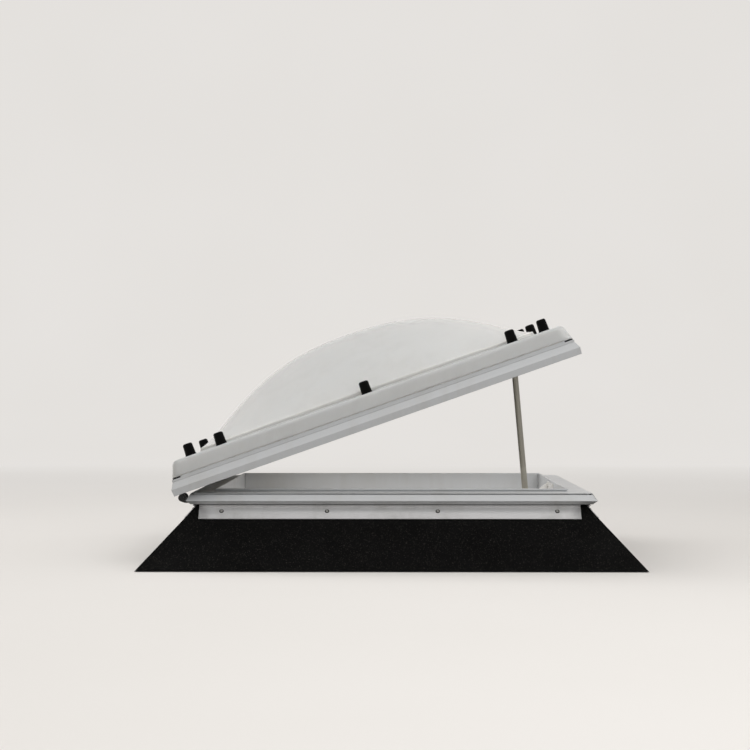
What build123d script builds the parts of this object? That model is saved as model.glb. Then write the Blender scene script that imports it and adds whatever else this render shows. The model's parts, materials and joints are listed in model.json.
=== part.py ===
from build123d import *
import math
import os

os.makedirs("parts", exist_ok=True)

# Clear daylight opening, and how far the lid stands open
opening_x = 900.0
opening_y = 900.0
open_angle = 19.33

# Upstand: a hollow moulding with an upright inner wall and a flared outer wall
upstand_height = 160.0
upstand_wall = 4.0
slope_spread = 144.0
foot_flange = 45.0
felt_thickness = 4.0
felt_foot = 2.0
felt_bond = 0.2

# Clamp bar that holds the felt, and its screws
bar_drop = 6.0
bar_width = 43.0
bar_thickness = 2.2
bar_lip = 4.5
bar_end_gap = 10.0
bar_screw_places = (-422.0, -118.0, 164.0, 433.0)
bar_screw_head = 5.5
bar_screw_shank = 2.4
bar_screw_length = 16.0

# Kerb profile, measured outwards from the opening and up from the upstand's top
kerb_width = 55.0
kerb_height = 41.0
kerb_ledge = 5.0
kerb_leg = 4.0
kerb_leg_drop = 35.0
leg_fit = 1.0
felt_setback = 4.0
kerb_fall = 7.0
kerb_wall = 3.0
kerb_web = 24.0
nose_reach = 19.0
nose_drop = 27.0
groove_width = 5.0
groove_depth = 5.0
kerb_screw_drop = 20.0
kerb_screw_pitch = 300.0
kerb_screw_head = 4.0
kerb_screw_shank = 2.0
kerb_screw_length = 14.0

# Lid frame profile, in the closed position
seal_gap = 6.0
lid_inset = 6.0
lid_overhang = 18.0
lid_height = 45.0
lid_wall = 3.0
lid_web = 46.0
lip_reach = 25.0
lip_drop = 22.0
lip_wall = 3.5
lip_rise = 21.0
lip_facet = 21.5
ridge_height = 28.0
ridge_width = 8.0
shelf_reach = 14.0
shelf_gap = 0.2
shelf_groove = 1.0
seal_inset = 12.0
seal_width = 10.0
seal_clearance = 0.4

# Domes, their flanges and the strips between them
gasket_thickness = 3.0
inner_sheet = 3.0
spacer_thickness = 8.5
outer_sheet = 3.5
layer_bond = 0.1
layer_inset = 3.0
flange_radius = 8.0
corner_radius = 24.0
corner_grow = 4.0
skirt_splay = 13.5
skirt_depth = 36.0
pad_leg = 24.0
pad_setback = 0.5
dome_edge = 25.0
dome_rise = 176.0
inner_rise = 128.0
dome_sink = 2.0
dome_power = 2.35

# Screws through the dome flanges, and their caps
cap_offset = 14.0
cap_pitch = 395.0
cap_base_radius = 15.0
cap_top_radius = 12.5
cap_height = 34.0
cap_wall = 2.0
dome_screw_shank = 2.75
dome_screw_hole = 3.2
dome_screw_head = 5.5
dome_screw_length = 34.0
washer_radius = 11.0
washer_thickness = 2.0

# Hinges: a fixed leaf under the kerb nose, a moving leaf inside the lid lip
hinge_standoff = 16.0
hinge_rise = 14.0
hinge_place = 430.0
barrel_radius = 10.0
lid_knuckle = 30.0
kerb_knuckle = 14.0
knuckle_gap = 0.3
hinge_pin_radius = 3.0
hinge_running_fit = 0.06
hinge_fixed_fit = 0.02
hinge_pin_head = 2.0
leaf_thickness = 3.0
leaf_screw_radius = 2.0
leaf_screw_length = 12.0

# Opener: a toothed tube driven up out of a housing that tilts in a wall console
drive_out = 60.0
drive_drop = 130.0
pin_reach = 44.0
pin_rise = 3.0
tube_radius = 8.5
tube_bore = 5.5
tube_tail = 24.0
tooth_pitch = 6.283
tooth_depth = 2.2
spare_teeth = 3
eye_radius = 13.0
eye_thickness = 14.0
eye_neck = 12.0
clevis_pin_radius = 4.0
eye_clearance = 2.2
housing_width = 46.0
housing_length = 152.0
housing_above = 30.0
housing_below = 18.0
housing_corner = 9.0
cover_sheet = 2.0
cover_margin = 8.0
cover_inset = 5.0
cover_head_radius = 3.2
cover_head_height = 2.0
pin_head = 2.5
clip_sheet = 1.2
clip_reach = 3.5
bush_wall = 3.0
bush_collar = 3.0
bush_collar_reach = 3.0
bush_running_fit = 0.08
bush_seat_fit = 0.02
trunnion_radius = 6.0
trunnion_fit = 0.08
console_sheet = 3.0
console_gap = 1.5
console_boss = 15.0
console_rise = 31.0
gusset_shoulder = (28.0, 22.0)
gusset_waist = 62.0
cheek_sheet = 4.0
cheek_gap = 2.0
bracket_plate = 3.0
bracket_half = 30.0

# What follows from those sizes: half plan sizes, distances outwards from the opening and heights
up = Vector(0, 0, 1)
half_x = opening_x / 2
half_y = opening_y / 2
leg_face = kerb_width - kerb_ledge
slope_top = leg_face - felt_setback
slope_foot = slope_top + slope_spread
nose_tip = kerb_width + nose_reach
body_face = kerb_width + lid_overhang
ridge_edge = body_face + ridge_width
shelf_edge = body_face + shelf_reach
skirt_edge = body_face + skirt_splay
hinge_out = nose_tip + hinge_standoff
kerb_leg_bottom = upstand_height - kerb_leg_drop
kerb_top = upstand_height + kerb_height
hinge_z = upstand_height + hinge_rise
drive_z = upstand_height - drive_drop
console_top = upstand_height + console_rise
side_frames = {
    "front": (Vector(0, -1, 0), Vector(1, 0, 0), half_y, half_x),
    "right": (Vector(1, 0, 0), Vector(0, 1, 0), half_x, half_y),
    "back": (Vector(0, 1, 0), Vector(-1, 0, 0), half_y, half_x),
    "left": (Vector(-1, 0, 0), Vector(0, -1, 0), half_x, half_y),
}

# The hinge axis runs along Y on the left. What the lid carries is drawn shut, then turned with the lid
hinge_x = -half_x - hinge_out
hinge_point = Location((hinge_x, 0, hinge_z))
lid_placing = hinge_point * Location((0, 0, 0), (0, -open_angle, 0)) * hinge_point.inverse()
fixed = Location()


def section_plane(side, placing):
    """Plane across one side: x runs outwards from the daylight opening, y runs up from the roof."""
    outward, along, half_out, half_along = side_frames[side]
    plane = Plane(origin=outward * half_out, x_dir=outward, z_dir=outward.cross(up))
    return Plane(placing * plane.location)


def mitre_planes(side, placing):
    """The two upright planes that cut one side at 45 degrees at its corners."""
    outward, along, half_out, half_along = side_frames[side]
    planes = []
    for hand in (1, -1):
        corner = outward * half_out + along * (hand * half_along)
        plane = Plane(origin=corner, z_dir=outward - along * hand)
        planes.append(Plane(placing * plane.location))
    return planes


def mitred_bar(section, side, placing):
    """One bar of a square frame: its section run along the side and mitred at both corners."""
    half_along = side_frames[side][3]
    with BuildPart() as bar:
        with BuildSketch(section_plane(side, placing)):
            add(section)
        extrude(amount=half_along + slope_foot + 20, both=True)
        for plane in mitre_planes(side, placing):
            split(bisect_by=plane, keep=Keep.TOP)
    return bar


def mitred_ring(section, placing):
    """Four mitred bars welded into one piece."""
    with BuildPart() as ring:
        for side in side_frames:
            add(mitred_bar(section, side, placing).part)
    return ring


def write(builder, name):
    """Gives a finished piece its name and writes it."""
    builder.part.label = name
    export_step(builder.part, f"parts/{name}.step")


def in_lid(x, y, z):
    """A level plane in the lid, at a place given as if the lid were shut."""
    return Plane(lid_placing * Location((x, y, z)))


# The slope of the upstand, as a direction down it and a direction square off it
slope_run = slope_foot - slope_top
slope_length = math.hypot(slope_run, upstand_height)
across_slope = slope_length / upstand_height


def slope_plane(side):
    """Plane on the outer felt face: x runs to the left along the side, y down the slope, z square off it."""
    outward, along, half_out, half_along = side_frames[side]
    top = outward * (half_out + slope_top) + up * upstand_height
    down = (outward * slope_run - up * upstand_height) / slope_length
    return Plane(origin=top, x_dir=along * -1, z_dir=(along * -1).cross(down))


# Screw places on every side, down the middle of the clamp bar
bar_middle = bar_drop + bar_width / 2
bar_screw_locations = {
    side: [slope_plane(side).location * Location((place, bar_middle, 0)) for place in bar_screw_places]
    for side in side_frames
}

# Upstand: inner wall, top ledge, flared outer wall and a foot flange turned in under it
upstand_face = kerb_leg + leg_fit
felt_back = slope_top - (felt_thickness + felt_bond) * across_slope
foot_back = slope_foot - (felt_thickness + felt_bond) * across_slope
wall_across = upstand_wall * across_slope
top_slack = upstand_wall * slope_run / upstand_height
with BuildSketch() as upstand_section:
    with BuildLine():
        Polyline(
            (upstand_face, 0),
            (upstand_face, upstand_height),
            (felt_back, upstand_height),
            (foot_back, 0),
            (foot_back - foot_flange, 0),
            (foot_back - foot_flange, upstand_wall),
            (foot_back - wall_across - top_slack, upstand_wall),
            (felt_back - wall_across + top_slack, upstand_height - upstand_wall),
            (upstand_face + upstand_wall, upstand_height - upstand_wall),
            (upstand_face + upstand_wall, 0),
            close=True,
        )
    make_face()

# Places of the screws that fix the wall console, and of those that fix the kerb to the upstand
console_width = housing_length + 2 * console_gap + 2 * console_sheet
console_screw_y = console_width / 2 - 22
console_screw_z = (kerb_leg_bottom + 12, upstand_height + 14)
console_screw_spots = [
    Plane(origin=(half_x - console_sheet, y, z), x_dir=(0, 1, 0), z_dir=(-1, 0, 0)).location
    for y in (-console_screw_y, console_screw_y)
    for z in console_screw_z
]
kerb_screw_locations = []
for outward, along, half_out, half_along in side_frames.values():
    for step in (-1, 0, 1):
        spot = outward * half_out + along * (step * kerb_screw_pitch) + up * (upstand_height - kerb_screw_drop)
        kerb_screw_locations.append(Plane(origin=spot, x_dir=along, z_dir=outward * -1).location)

with BuildPart() as upstand:
    add(mitred_ring(upstand_section.sketch, fixed).part)
    for locations in bar_screw_locations.values():
        with Locations(*locations):
            Hole(bar_screw_shank, depth=bar_screw_length)
    with Locations(*kerb_screw_locations):
        Hole(kerb_screw_shank, depth=kerb_screw_length)
    with Locations(*console_screw_spots):
        Hole(leaf_screw_radius, depth=leaf_screw_length)
write(upstand, "upstand")

# Felt: one sheet dressed on each slope and trimmed to the hips
felt_across = felt_thickness * across_slope
foot_run = (upstand_height - felt_foot) * slope_run / upstand_height
top_run = felt_bond * slope_run / upstand_height
with BuildSketch() as felt_section:
    with BuildLine():
        Polyline(
            (slope_top + top_run, upstand_height - felt_bond),
            (slope_top + foot_run, felt_foot),
            (slope_top + foot_run - felt_across, felt_foot),
            (slope_top + top_run - felt_across, upstand_height - felt_bond),
            close=True,
        )
    make_face()
for side, locations in bar_screw_locations.items():
    with BuildPart() as felt:
        add(mitred_bar(felt_section.sketch, side, fixed).part)
        with Locations(*locations):
            Hole(bar_screw_shank, depth=bar_screw_length)
    write(felt, f"felt_{side}")

# Clamp bars: a ribbed strip with a rolled top lip, cut square at both ends
rib_height = 0.7
rib_width = 1.6
with BuildSketch() as clamp_section:
    with BuildLine():
        Polyline(
            (0, felt_bond),
            (0, bar_lip - 1),
            (1, bar_lip),
            (3, bar_lip),
            (4, bar_lip - 1),
            (4, bar_thickness),
            (bar_width - 2, bar_thickness),
            (bar_width - 2, bar_thickness + 1),
            (bar_width, bar_thickness + 1),
            (bar_width, felt_bond),
            close=True,
        )
    make_face()
    for rib in (8.0, 11.5, bar_width - 10, bar_width - 6.5):
        with Locations((rib, bar_thickness + rib_height / 2)):
            Rectangle(rib_width, rib_height)
for side, locations in bar_screw_locations.items():
    bar_length = 2 * (side_frames[side][3] + slope_top - bar_end_gap)
    bar_end = Plane(origin=(-bar_length / 2, bar_drop, 0), x_dir=(0, 1, 0), z_dir=(1, 0, 0))
    with BuildPart() as clamp_bar:
        with BuildSketch(Plane(slope_plane(side).location * bar_end.location)):
            add(clamp_section.sketch)
        extrude(amount=bar_length)
        with Locations(*[spot * Location((0, 0, bar_lip)) for spot in locations]):
            Hole(bar_screw_shank, depth=bar_screw_length)
    write(clamp_bar, f"clamp_bar_{side}")

# Clamp bar screws: pan heads with a cross-slot recess and a plain shank
with BuildPart() as clamp_bar_screws:
    for locations in bar_screw_locations.values():
        with Locations(*[spot * Location((0, 0, bar_thickness)) for spot in locations]):
            Cylinder(bar_screw_head, 2.4, align=(Align.CENTER, Align.CENTER, Align.MIN))
            Cylinder(
                bar_screw_shank - 0.1, bar_screw_length, align=(Align.CENTER, Align.CENTER, Align.MAX)
            )
        with Locations(*[spot * Location((0, 0, bar_thickness + 2.4)) for spot in locations]):
            Hole(1.6, depth=1.4)
write(clamp_bar_screws, "clamp_bar_screws")

# Kerb: a hollow profile with an inner leg, a sloping top with a seal groove, and a drip nose
kerb_edge_z = kerb_top - kerb_fall
nose_tip_z = kerb_edge_z - nose_drop
web_end = kerb_web + groove_width
with BuildSketch() as kerb_section:
    with BuildLine():
        Polyline(
            (kerb_leg, kerb_leg_bottom),
            (0, kerb_leg_bottom),
            (0, kerb_top - 2),
            (2, kerb_top),
            (kerb_web - 2, kerb_top - 1),
            (kerb_web - 2, kerb_top - 1 - groove_depth),
            (web_end - 2, kerb_top - 1 - groove_depth),
            (web_end - 2, kerb_top - 1),
            (kerb_width - 1, kerb_edge_z + 1),
            (kerb_width, kerb_edge_z),
            (kerb_width, kerb_edge_z - 7),
            (kerb_width + 2, kerb_edge_z - 8),
            (nose_tip, nose_tip_z + 2.5),
            (nose_tip, nose_tip_z),
            (nose_tip - 2.5, nose_tip_z),
            (kerb_width, kerb_edge_z - 11.5),
            (leg_face, kerb_edge_z - 11.5),
            (leg_face, upstand_height),
            (kerb_leg, upstand_height),
            close=True,
        )
    make_face()
    chamber_floor = upstand_height + kerb_wall
    chamber_height = kerb_top - 1 - groove_depth - kerb_wall - chamber_floor
    for chamber_in, chamber_out in ((kerb_wall, kerb_web), (kerb_web + kerb_wall, leg_face - kerb_wall)):
        with Locations(((chamber_in + chamber_out) / 2, chamber_floor + chamber_height / 2)):
            Rectangle(chamber_out - chamber_in, chamber_height - 2, mode=Mode.SUBTRACT)
leaf_screw_z = upstand_height + 10
leaf_places = {"front": -hinge_place, "back": hinge_place}
leaf_screw_spots = [
    Plane(
        origin=(-half_x - leg_face - leaf_thickness, place + shift, leaf_screw_z),
        x_dir=(0, 1, 0),
        z_dir=(-1, 0, 0),
    ).location
    for place in leaf_places.values()
    for shift in (-16.0, 16.0)
]
for side in side_frames:
    with BuildPart() as kerb:
        add(mitred_bar(kerb_section.sketch, side, fixed).part)
        with Locations(*kerb_screw_locations):
            CounterSinkHole(kerb_screw_shank + 0.1, kerb_screw_head, depth=kerb_screw_length)
        if side == "right":
            with Locations(*console_screw_spots):
                Hole(leaf_screw_radius, depth=leaf_screw_length)
        if side == "left":
            with Locations(*leaf_screw_spots):
                Hole(leaf_screw_radius, depth=leaf_screw_length)
    write(kerb, f"kerb_{side}")

# Kerb screws: countersunk, driven outwards through the inner leg into the upstand
with BuildPart() as kerb_screws:
    with Locations(*kerb_screw_locations):
        Cylinder(
            kerb_screw_shank - 0.05, kerb_screw_length - 1, align=(Align.CENTER, Align.CENTER, Align.MAX)
        )
        Cone(
            kerb_screw_shank - 0.05,
            kerb_screw_head - 0.15,
            kerb_screw_head - kerb_screw_shank - 0.1,
            align=(Align.CENTER, Align.CENTER, Align.MAX),
        )
write(kerb_screws, "kerb_screws")

# Lid frame: a hollow body, a ridge behind the dome's skirt, a shelf under it and a splayed lip outside
lid_base = kerb_top + seal_gap
lid_top = lid_base + lid_height
lip_face = body_face + lip_reach
lip_bottom = lid_base - lip_drop
lip_bend = lip_bottom + lip_facet
lip_top = lid_base + lip_rise
lip_under = lip_top - lip_wall - 2
gasket_z = lid_top + layer_bond
inner_flange_z = gasket_z + gasket_thickness + layer_bond
spacer_z = inner_flange_z + inner_sheet + layer_bond
outer_flange_z = spacer_z + spacer_thickness + layer_bond
flange_top = outer_flange_z + outer_sheet
skirt_bottom = flange_top - skirt_depth
shelf_top = skirt_bottom - shelf_gap
with BuildSketch() as lid_section:
    with BuildLine():
        Polyline(
            (lid_inset, lid_base),
            (lid_inset, lid_top),
            (body_face, lid_top),
            (body_face, lid_base + ridge_height),
            (ridge_edge, lid_base + ridge_height),
            (ridge_edge, shelf_top),
            (shelf_edge, shelf_top),
            (shelf_edge, lip_top + shelf_groove),
            (shelf_edge - shelf_groove, lip_top),
            (shelf_edge, lip_top - shelf_groove),
            (lip_face, lip_bend),
            (lip_face, lip_bottom),
            (lip_face - lip_wall, lip_bottom),
            (lip_face - lip_wall, lip_bend - 0.8),
            (lip_face - 13.5, lip_under),
            (body_face, lip_under),
            (body_face, lid_base),
            close=True,
        )
    make_face()
    for chamber_in, chamber_out in (
        (lid_inset + lid_wall, lid_inset + lid_web),
        (lid_inset + lid_web + lid_wall, body_face - lid_wall),
    ):
        with Locations(((chamber_in + chamber_out) / 2, lid_base + lid_height / 2)):
            Rectangle(chamber_out - chamber_in, lid_height - 2 * lid_wall, mode=Mode.SUBTRACT)

# Places shared by the screws through the dome flanges, on the outer flange's top face
line_x = half_x + dome_edge + cap_offset
line_y = half_y + dome_edge + cap_offset
cap_places = [(x, y) for x in (-line_x, line_x) for y in (-cap_pitch, 0, cap_pitch)]
cap_places += [(x, y) for y in (-line_y, line_y) for x in (-cap_pitch, 0, cap_pitch)]


def cap_locations(z):
    """The twelve screw places, at one level of the lid."""
    return [in_lid(x, y, z).location for x, y in cap_places]


# Places of the screws of the moving hinge leaves, on the outer wall of the lid frame
lid_leaf_screw_z = lid_base + 10
lid_leaf_spots = [
    lid_placing
    * Plane(
        origin=(-half_x - body_face - leaf_thickness, place + shift, lid_leaf_screw_z),
        x_dir=(0, 1, 0),
        z_dir=(-1, 0, 0),
    ).location
    for place in leaf_places.values()
    for shift in (-9.0, 9.0)
]
bracket_face = half_x + lid_inset - bracket_plate
bracket_middle_z = lid_base + lid_height / 2
bracket_spots = [
    lid_placing * Plane(origin=(bracket_face, y, z), x_dir=(0, 1, 0), z_dir=(-1, 0, 0)).location
    for y in (-bracket_half + 8, bracket_half - 8)
    for z in (bracket_middle_z - 10, bracket_middle_z + 10)
]
lid_reach = opening_x + opening_y + 4 * skirt_edge
with BuildSketch() as corner_zones:
    Rectangle(lid_reach, lid_reach)
    RectangleRounded(
        2 * (half_x + ridge_edge), 2 * (half_y + ridge_edge), corner_radius + corner_grow, mode=Mode.SUBTRACT
    )
    Rectangle(2 * (half_x + shelf_edge - pad_leg), lid_reach, mode=Mode.SUBTRACT)
    Rectangle(lid_reach, 2 * (half_y + shelf_edge - pad_leg), mode=Mode.SUBTRACT)
with BuildSketch() as body_surround:
    Rectangle(lid_reach, lid_reach)
    RectangleRounded(
        2 * (half_x + body_face), 2 * (half_y + body_face), corner_radius + corner_grow, mode=Mode.SUBTRACT
    )
for side in side_frames:
    with BuildPart() as lid_frame:
        add(mitred_bar(lid_section.sketch, side, lid_placing).part)
        for level, trimming in ((lip_top, corner_zones), (lid_base + ridge_height, body_surround)):
            with BuildSketch(in_lid(0, 0, level)):
                add(trimming.sketch)
            extrude(amount=lid_height, mode=Mode.SUBTRACT)
        with Locations(*cap_locations(lid_top)):
            Hole(dome_screw_hole, depth=lid_wall + 1)
        if side == "left":
            with Locations(*lid_leaf_spots):
                Hole(leaf_screw_radius, depth=leaf_screw_length)
        if side == "right":
            with Locations(*bracket_spots):
                Hole(leaf_screw_radius, depth=leaf_screw_length)
    write(lid_frame, f"lid_frame_{side}")

# Lid seal: a flattened bulb with a base strip, welded at the corners into one ring
bulb_height = seal_gap - seal_clearance
with BuildSketch() as seal_section:
    with Locations((seal_inset, lid_base - layer_bond - 0.75)):
        Rectangle(seal_width, 1.5)
    with Locations((seal_inset, lid_base - layer_bond - bulb_height / 2)):
        RectangleRounded(seal_width - 2, bulb_height - layer_bond, 2.2)
        RectangleRounded(seal_width - 5, bulb_height - layer_bond - 2.6, 1.2, mode=Mode.SUBTRACT)
lid_seal = mitred_ring(seal_section.sketch, lid_placing)
write(lid_seal, "lid_seal")


def flat_ring(z, thickness, outer_edge, inner_edge, rounding):
    """A flat strip right round the lid, with the screw holes through it."""
    with BuildPart() as strip:
        with BuildSketch(in_lid(0, 0, z)):
            RectangleRounded(2 * (half_x + outer_edge), 2 * (half_y + outer_edge), rounding)
            Rectangle(2 * (half_x + inner_edge), 2 * (half_y + inner_edge), mode=Mode.SUBTRACT)
        extrude(amount=thickness)
        with Locations(*cap_locations(z + thickness)):
            Hole(dome_screw_hole, depth=thickness + 1)
    return strip


# Gasket under the inner dome and spacer between the two flanges
layer_edge = body_face - outer_sheet - layer_inset
dome_gasket = flat_ring(gasket_z, gasket_thickness, layer_edge, dome_edge + 3, corner_radius / 2)
write(dome_gasket, "dome_gasket")
dome_spacer = flat_ring(spacer_z, spacer_thickness, layer_edge, dome_edge + 3, corner_radius / 2)
write(dome_spacer, "dome_spacer")


def dome_surface(edge_x, edge_y, rise, z):
    """Blown sheet: its height is the rise times a flattened curve in x times the same curve in y."""
    steps = 16
    rows = []
    for i in range(-steps, steps + 1):
        u = math.sin(math.pi / 2 * i / steps)
        row = []
        for j in range(-steps, steps + 1):
            v = math.sin(math.pi / 2 * j / steps)
            swell = (1 - abs(u) ** dome_power) * (1 - abs(v) ** dome_power)
            height = (rise + dome_sink) * swell - dome_sink
            row.append(Vector(u * edge_x, v * edge_y, z + height))
        rows.append(row)
    return Face.make_surface_from_array_of_points(rows, tol=0.05)


def dome_block(edge, rise, z, floor):
    """Everything under a blown sheet, down to a level floor."""
    sheet = dome_surface(half_x + edge, half_y + edge, rise, z)
    with BuildPart() as block:
        add(Solid.extrude(sheet, Vector(0, 0, -2 * rise)))
        split(bisect_by=Plane.XY.offset(floor), keep=Keep.TOP)
    return block.part.moved(lid_placing)


# Inner dome: a flatter blown sheet with a plain flange
with BuildPart() as inner_dome:
    with BuildSketch(in_lid(0, 0, inner_flange_z)):
        RectangleRounded(
            2 * (half_x + layer_edge), 2 * (half_y + layer_edge), corner_radius / 2
        )
    extrude(amount=inner_sheet)
    inner_top_z = inner_flange_z + inner_sheet
    add(dome_block(dome_edge, inner_rise, inner_top_z, inner_flange_z))
    inner_hollow = dome_block(dome_edge - inner_sheet, inner_rise, inner_flange_z, inner_flange_z - inner_rise)
    add(inner_hollow, mode=Mode.SUBTRACT)
    with Locations(*cap_locations(inner_flange_z + inner_sheet)):
        Hole(dome_screw_hole, depth=inner_sheet + 1)
write(inner_dome, "inner_dome")

# Outer dome: flange and skirt drawn down over the frame, with a high blown crown
flange_grow = skirt_splay / skirt_depth
with BuildPart() as outer_dome:
    with BuildSketch(in_lid(0, 0, flange_top - skirt_depth)):
        RectangleRounded(2 * (half_x + skirt_edge), 2 * (half_y + skirt_edge), corner_radius + corner_grow)
    with BuildSketch(in_lid(0, 0, flange_top)):
        RectangleRounded(2 * (half_x + body_face), 2 * (half_y + body_face), corner_radius)
    loft(ruled=True)
    fillet(outer_dome.edges().group_by(Axis((0, 0, 0), in_lid(0, 0, 0).z_dir))[-1], flange_radius)
    with BuildSketch(in_lid(0, 0, flange_top - skirt_depth - 1)):
        RectangleRounded(
            2 * (half_x + skirt_edge - outer_sheet + flange_grow),
            2 * (half_y + skirt_edge - outer_sheet + flange_grow),
            corner_radius + corner_grow - outer_sheet,
        )
    with BuildSketch(in_lid(0, 0, outer_flange_z)):
        RectangleRounded(
            2 * (half_x + body_face - outer_sheet),
            2 * (half_y + body_face - outer_sheet),
            corner_radius - outer_sheet,
        )
    loft(ruled=True, mode=Mode.SUBTRACT)
    add(dome_block(dome_edge, dome_rise, flange_top, outer_flange_z))
    outer_hollow = dome_block(dome_edge - outer_sheet, dome_rise, outer_flange_z, outer_flange_z - dome_rise)
    add(outer_hollow, mode=Mode.SUBTRACT)
    with Locations(*cap_locations(flange_top)):
        Hole(dome_screw_hole, depth=outer_sheet + 1)
write(outer_dome, "outer_dome")

# Corner pads: rubber wedges that close the gap under the skirt where the frame's shelf is cut off
pad_outer = skirt_edge - pad_setback
pad_inner = ridge_edge + layer_bond
pad_end = shelf_edge - pad_leg + layer_bond
with BuildPart() as corner_pads:
    with BuildSketch(in_lid(0, 0, lip_top + layer_bond)):
        RectangleRounded(
            2 * (half_x + pad_outer), 2 * (half_y + pad_outer), corner_radius + corner_grow - pad_setback
        )
        RectangleRounded(
            2 * (half_x + pad_inner),
            2 * (half_y + pad_inner),
            corner_radius + corner_grow + layer_bond,
            mode=Mode.SUBTRACT,
        )
        Rectangle(2 * (half_x + pad_end), lid_reach, mode=Mode.SUBTRACT)
        Rectangle(lid_reach, 2 * (half_y + pad_end), mode=Mode.SUBTRACT)
    extrude(amount=skirt_bottom - lip_top - 2 * layer_bond)
write(corner_pads, "corner_pads")

# Screws through both dome flanges into the frame, and a rubber-faced washer under each head
with BuildPart() as dome_washers:
    with Locations(*cap_locations(flange_top + layer_bond)):
        Cylinder(washer_radius, washer_thickness, align=(Align.CENTER, Align.CENTER, Align.MIN))
    with Locations(*cap_locations(flange_top + layer_bond + washer_thickness)):
        Hole(dome_screw_hole, depth=washer_thickness + 1)
write(dome_washers, "dome_washers")
head_z = flange_top + washer_thickness + 2 * layer_bond
with BuildPart() as dome_screws:
    with Locations(*cap_locations(head_z)):
        Cylinder(dome_screw_head, 4, align=(Align.CENTER, Align.CENTER, Align.MIN))
        Cylinder(dome_screw_shank, dome_screw_length, align=(Align.CENTER, Align.CENTER, Align.MAX))
write(dome_screws, "dome_screws")

# Screw caps: hollow tapered plugs with a flared rim and a rounded top, open below over the screw head
with BuildPart() as one_cap:
    with BuildSketch(Plane.XZ):
        with BuildLine():
            Polyline(
                (0, cap_height),
                (cap_top_radius, cap_height),
                (cap_base_radius - 1, 3),
                (cap_base_radius, 0),
                (washer_radius + 1, 0),
                (washer_radius + 1, washer_thickness + 1),
                (cap_top_radius - cap_wall, cap_height - cap_wall),
                (0, cap_height - cap_wall),
                close=True,
            )
        make_face()
    revolve(axis=Axis.Z)
    fillet(one_cap.edges().group_by(Axis.Z)[-1], 2.5)
with BuildPart() as screw_caps:
    with Locations(*cap_locations(flange_top + layer_bond)):
        add(one_cap.part)
write(screw_caps, "screw_caps")

# Hinge leaves: a fixed leaf with two knuckles under the kerb's nose, a lid leaf with one between them
leaf_width = lid_knuckle + 2 * (kerb_knuckle + knuckle_gap)
knuckle_middle = (lid_knuckle + kerb_knuckle) / 2 + knuckle_gap
with BuildSketch() as kerb_leaf_section:
    with BuildLine():
        Polyline(
            (leg_face, upstand_height + 1),
            (leg_face, upstand_height + 19),
            (leg_face + leaf_thickness, upstand_height + 19),
            (leg_face + leaf_thickness, upstand_height + 6),
            (hinge_out - 4, upstand_height + 6),
            (hinge_out + 2, hinge_z - barrel_radius + 0.2),
            (hinge_out - 8, upstand_height + 1),
            close=True,
        )
    make_face()
with BuildSketch() as lid_leaf_section:
    with BuildLine():
        Polyline(
            (body_face, lid_base + 1),
            (body_face, lip_under - layer_bond),
            (body_face + leaf_thickness, lip_under - layer_bond),
            (body_face + leaf_thickness, lid_base + 6),
            (hinge_out + 3, hinge_z + barrel_radius - 2),
            (hinge_out - 6, hinge_z + 4),
            close=True,
        )
    make_face()


def knuckle(section, y, width, bore, placing):
    """A leaf's bent arm and bored barrel, of one width along the hinge axis."""
    plane = Plane(placing * Location((0, y, 0)) * section_plane("left", fixed).location)
    with BuildPart() as piece:
        with BuildSketch(plane):
            add(section)
            with Locations((hinge_out, hinge_z)):
                Circle(barrel_radius)
                Circle(hinge_pin_radius + bore, mode=Mode.SUBTRACT)
        extrude(amount=width / 2, both=True)
    return piece


for side, place in leaf_places.items():
    with BuildPart() as kerb_leaf:
        for shift in (-knuckle_middle, knuckle_middle):
            ear = knuckle(kerb_leaf_section.sketch, place + shift, kerb_knuckle, hinge_fixed_fit, fixed)
            add(ear.part)
        with BuildSketch(Plane(Location((0, place, 0)) * section_plane("left", fixed).location)):
            with Locations((leg_face + leaf_thickness / 2, upstand_height + 10)):
                Rectangle(leaf_thickness, 18)
        extrude(amount=leaf_width / 2, both=True)
        with Locations(*leaf_screw_spots):
            Hole(leaf_screw_radius, depth=leaf_screw_length)
    write(kerb_leaf, f"hinge_leaf_kerb_{side}")
    lid_leaf = knuckle(lid_leaf_section.sketch, place, lid_knuckle, hinge_running_fit, lid_placing)
    with BuildPart() as lid_leaf_drilled:
        add(lid_leaf.part)
        with Locations(*lid_leaf_spots):
            Hole(leaf_screw_radius, depth=leaf_screw_length)
    write(lid_leaf_drilled, f"hinge_leaf_lid_{side}")

# Hinge pins: one turned pin in each hinge, with a thin head at both ends
pin_length = leaf_width + 2 * knuckle_gap
with BuildPart() as hinge_pins:
    for place in leaf_places.values():
        pin_plane = Plane(origin=(hinge_x, place - pin_length / 2, hinge_z), z_dir=(0, 1, 0))
        with BuildSketch(pin_plane):
            Circle(hinge_pin_radius)
        extrude(amount=pin_length)
        with BuildSketch(pin_plane, pin_plane.offset(pin_length + hinge_pin_head)):
            Circle(hinge_pin_radius + 2)
        extrude(amount=-hinge_pin_head)
write(hinge_pins, "hinge_pins")


def screw_group(spots, head_radius, head_height, shank_radius, length):
    """Pan-head screws at a list of places, their heads standing on the surface there."""
    with BuildPart() as screws:
        with Locations(*spots):
            Cylinder(head_radius, head_height, align=(Align.CENTER, Align.CENTER, Align.MIN))
            Cylinder(shank_radius, length, align=(Align.CENTER, Align.CENTER, Align.MAX))
    return screws


leaf_shank = leaf_screw_radius - 0.05
write(screw_group(leaf_screw_spots, 3.6, 2.2, leaf_shank, leaf_screw_length - 1), "hinge_screws_kerb")
write(screw_group(lid_leaf_spots, 3.6, 2.2, leaf_shank, leaf_screw_length - 1), "hinge_screws_lid")

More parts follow.
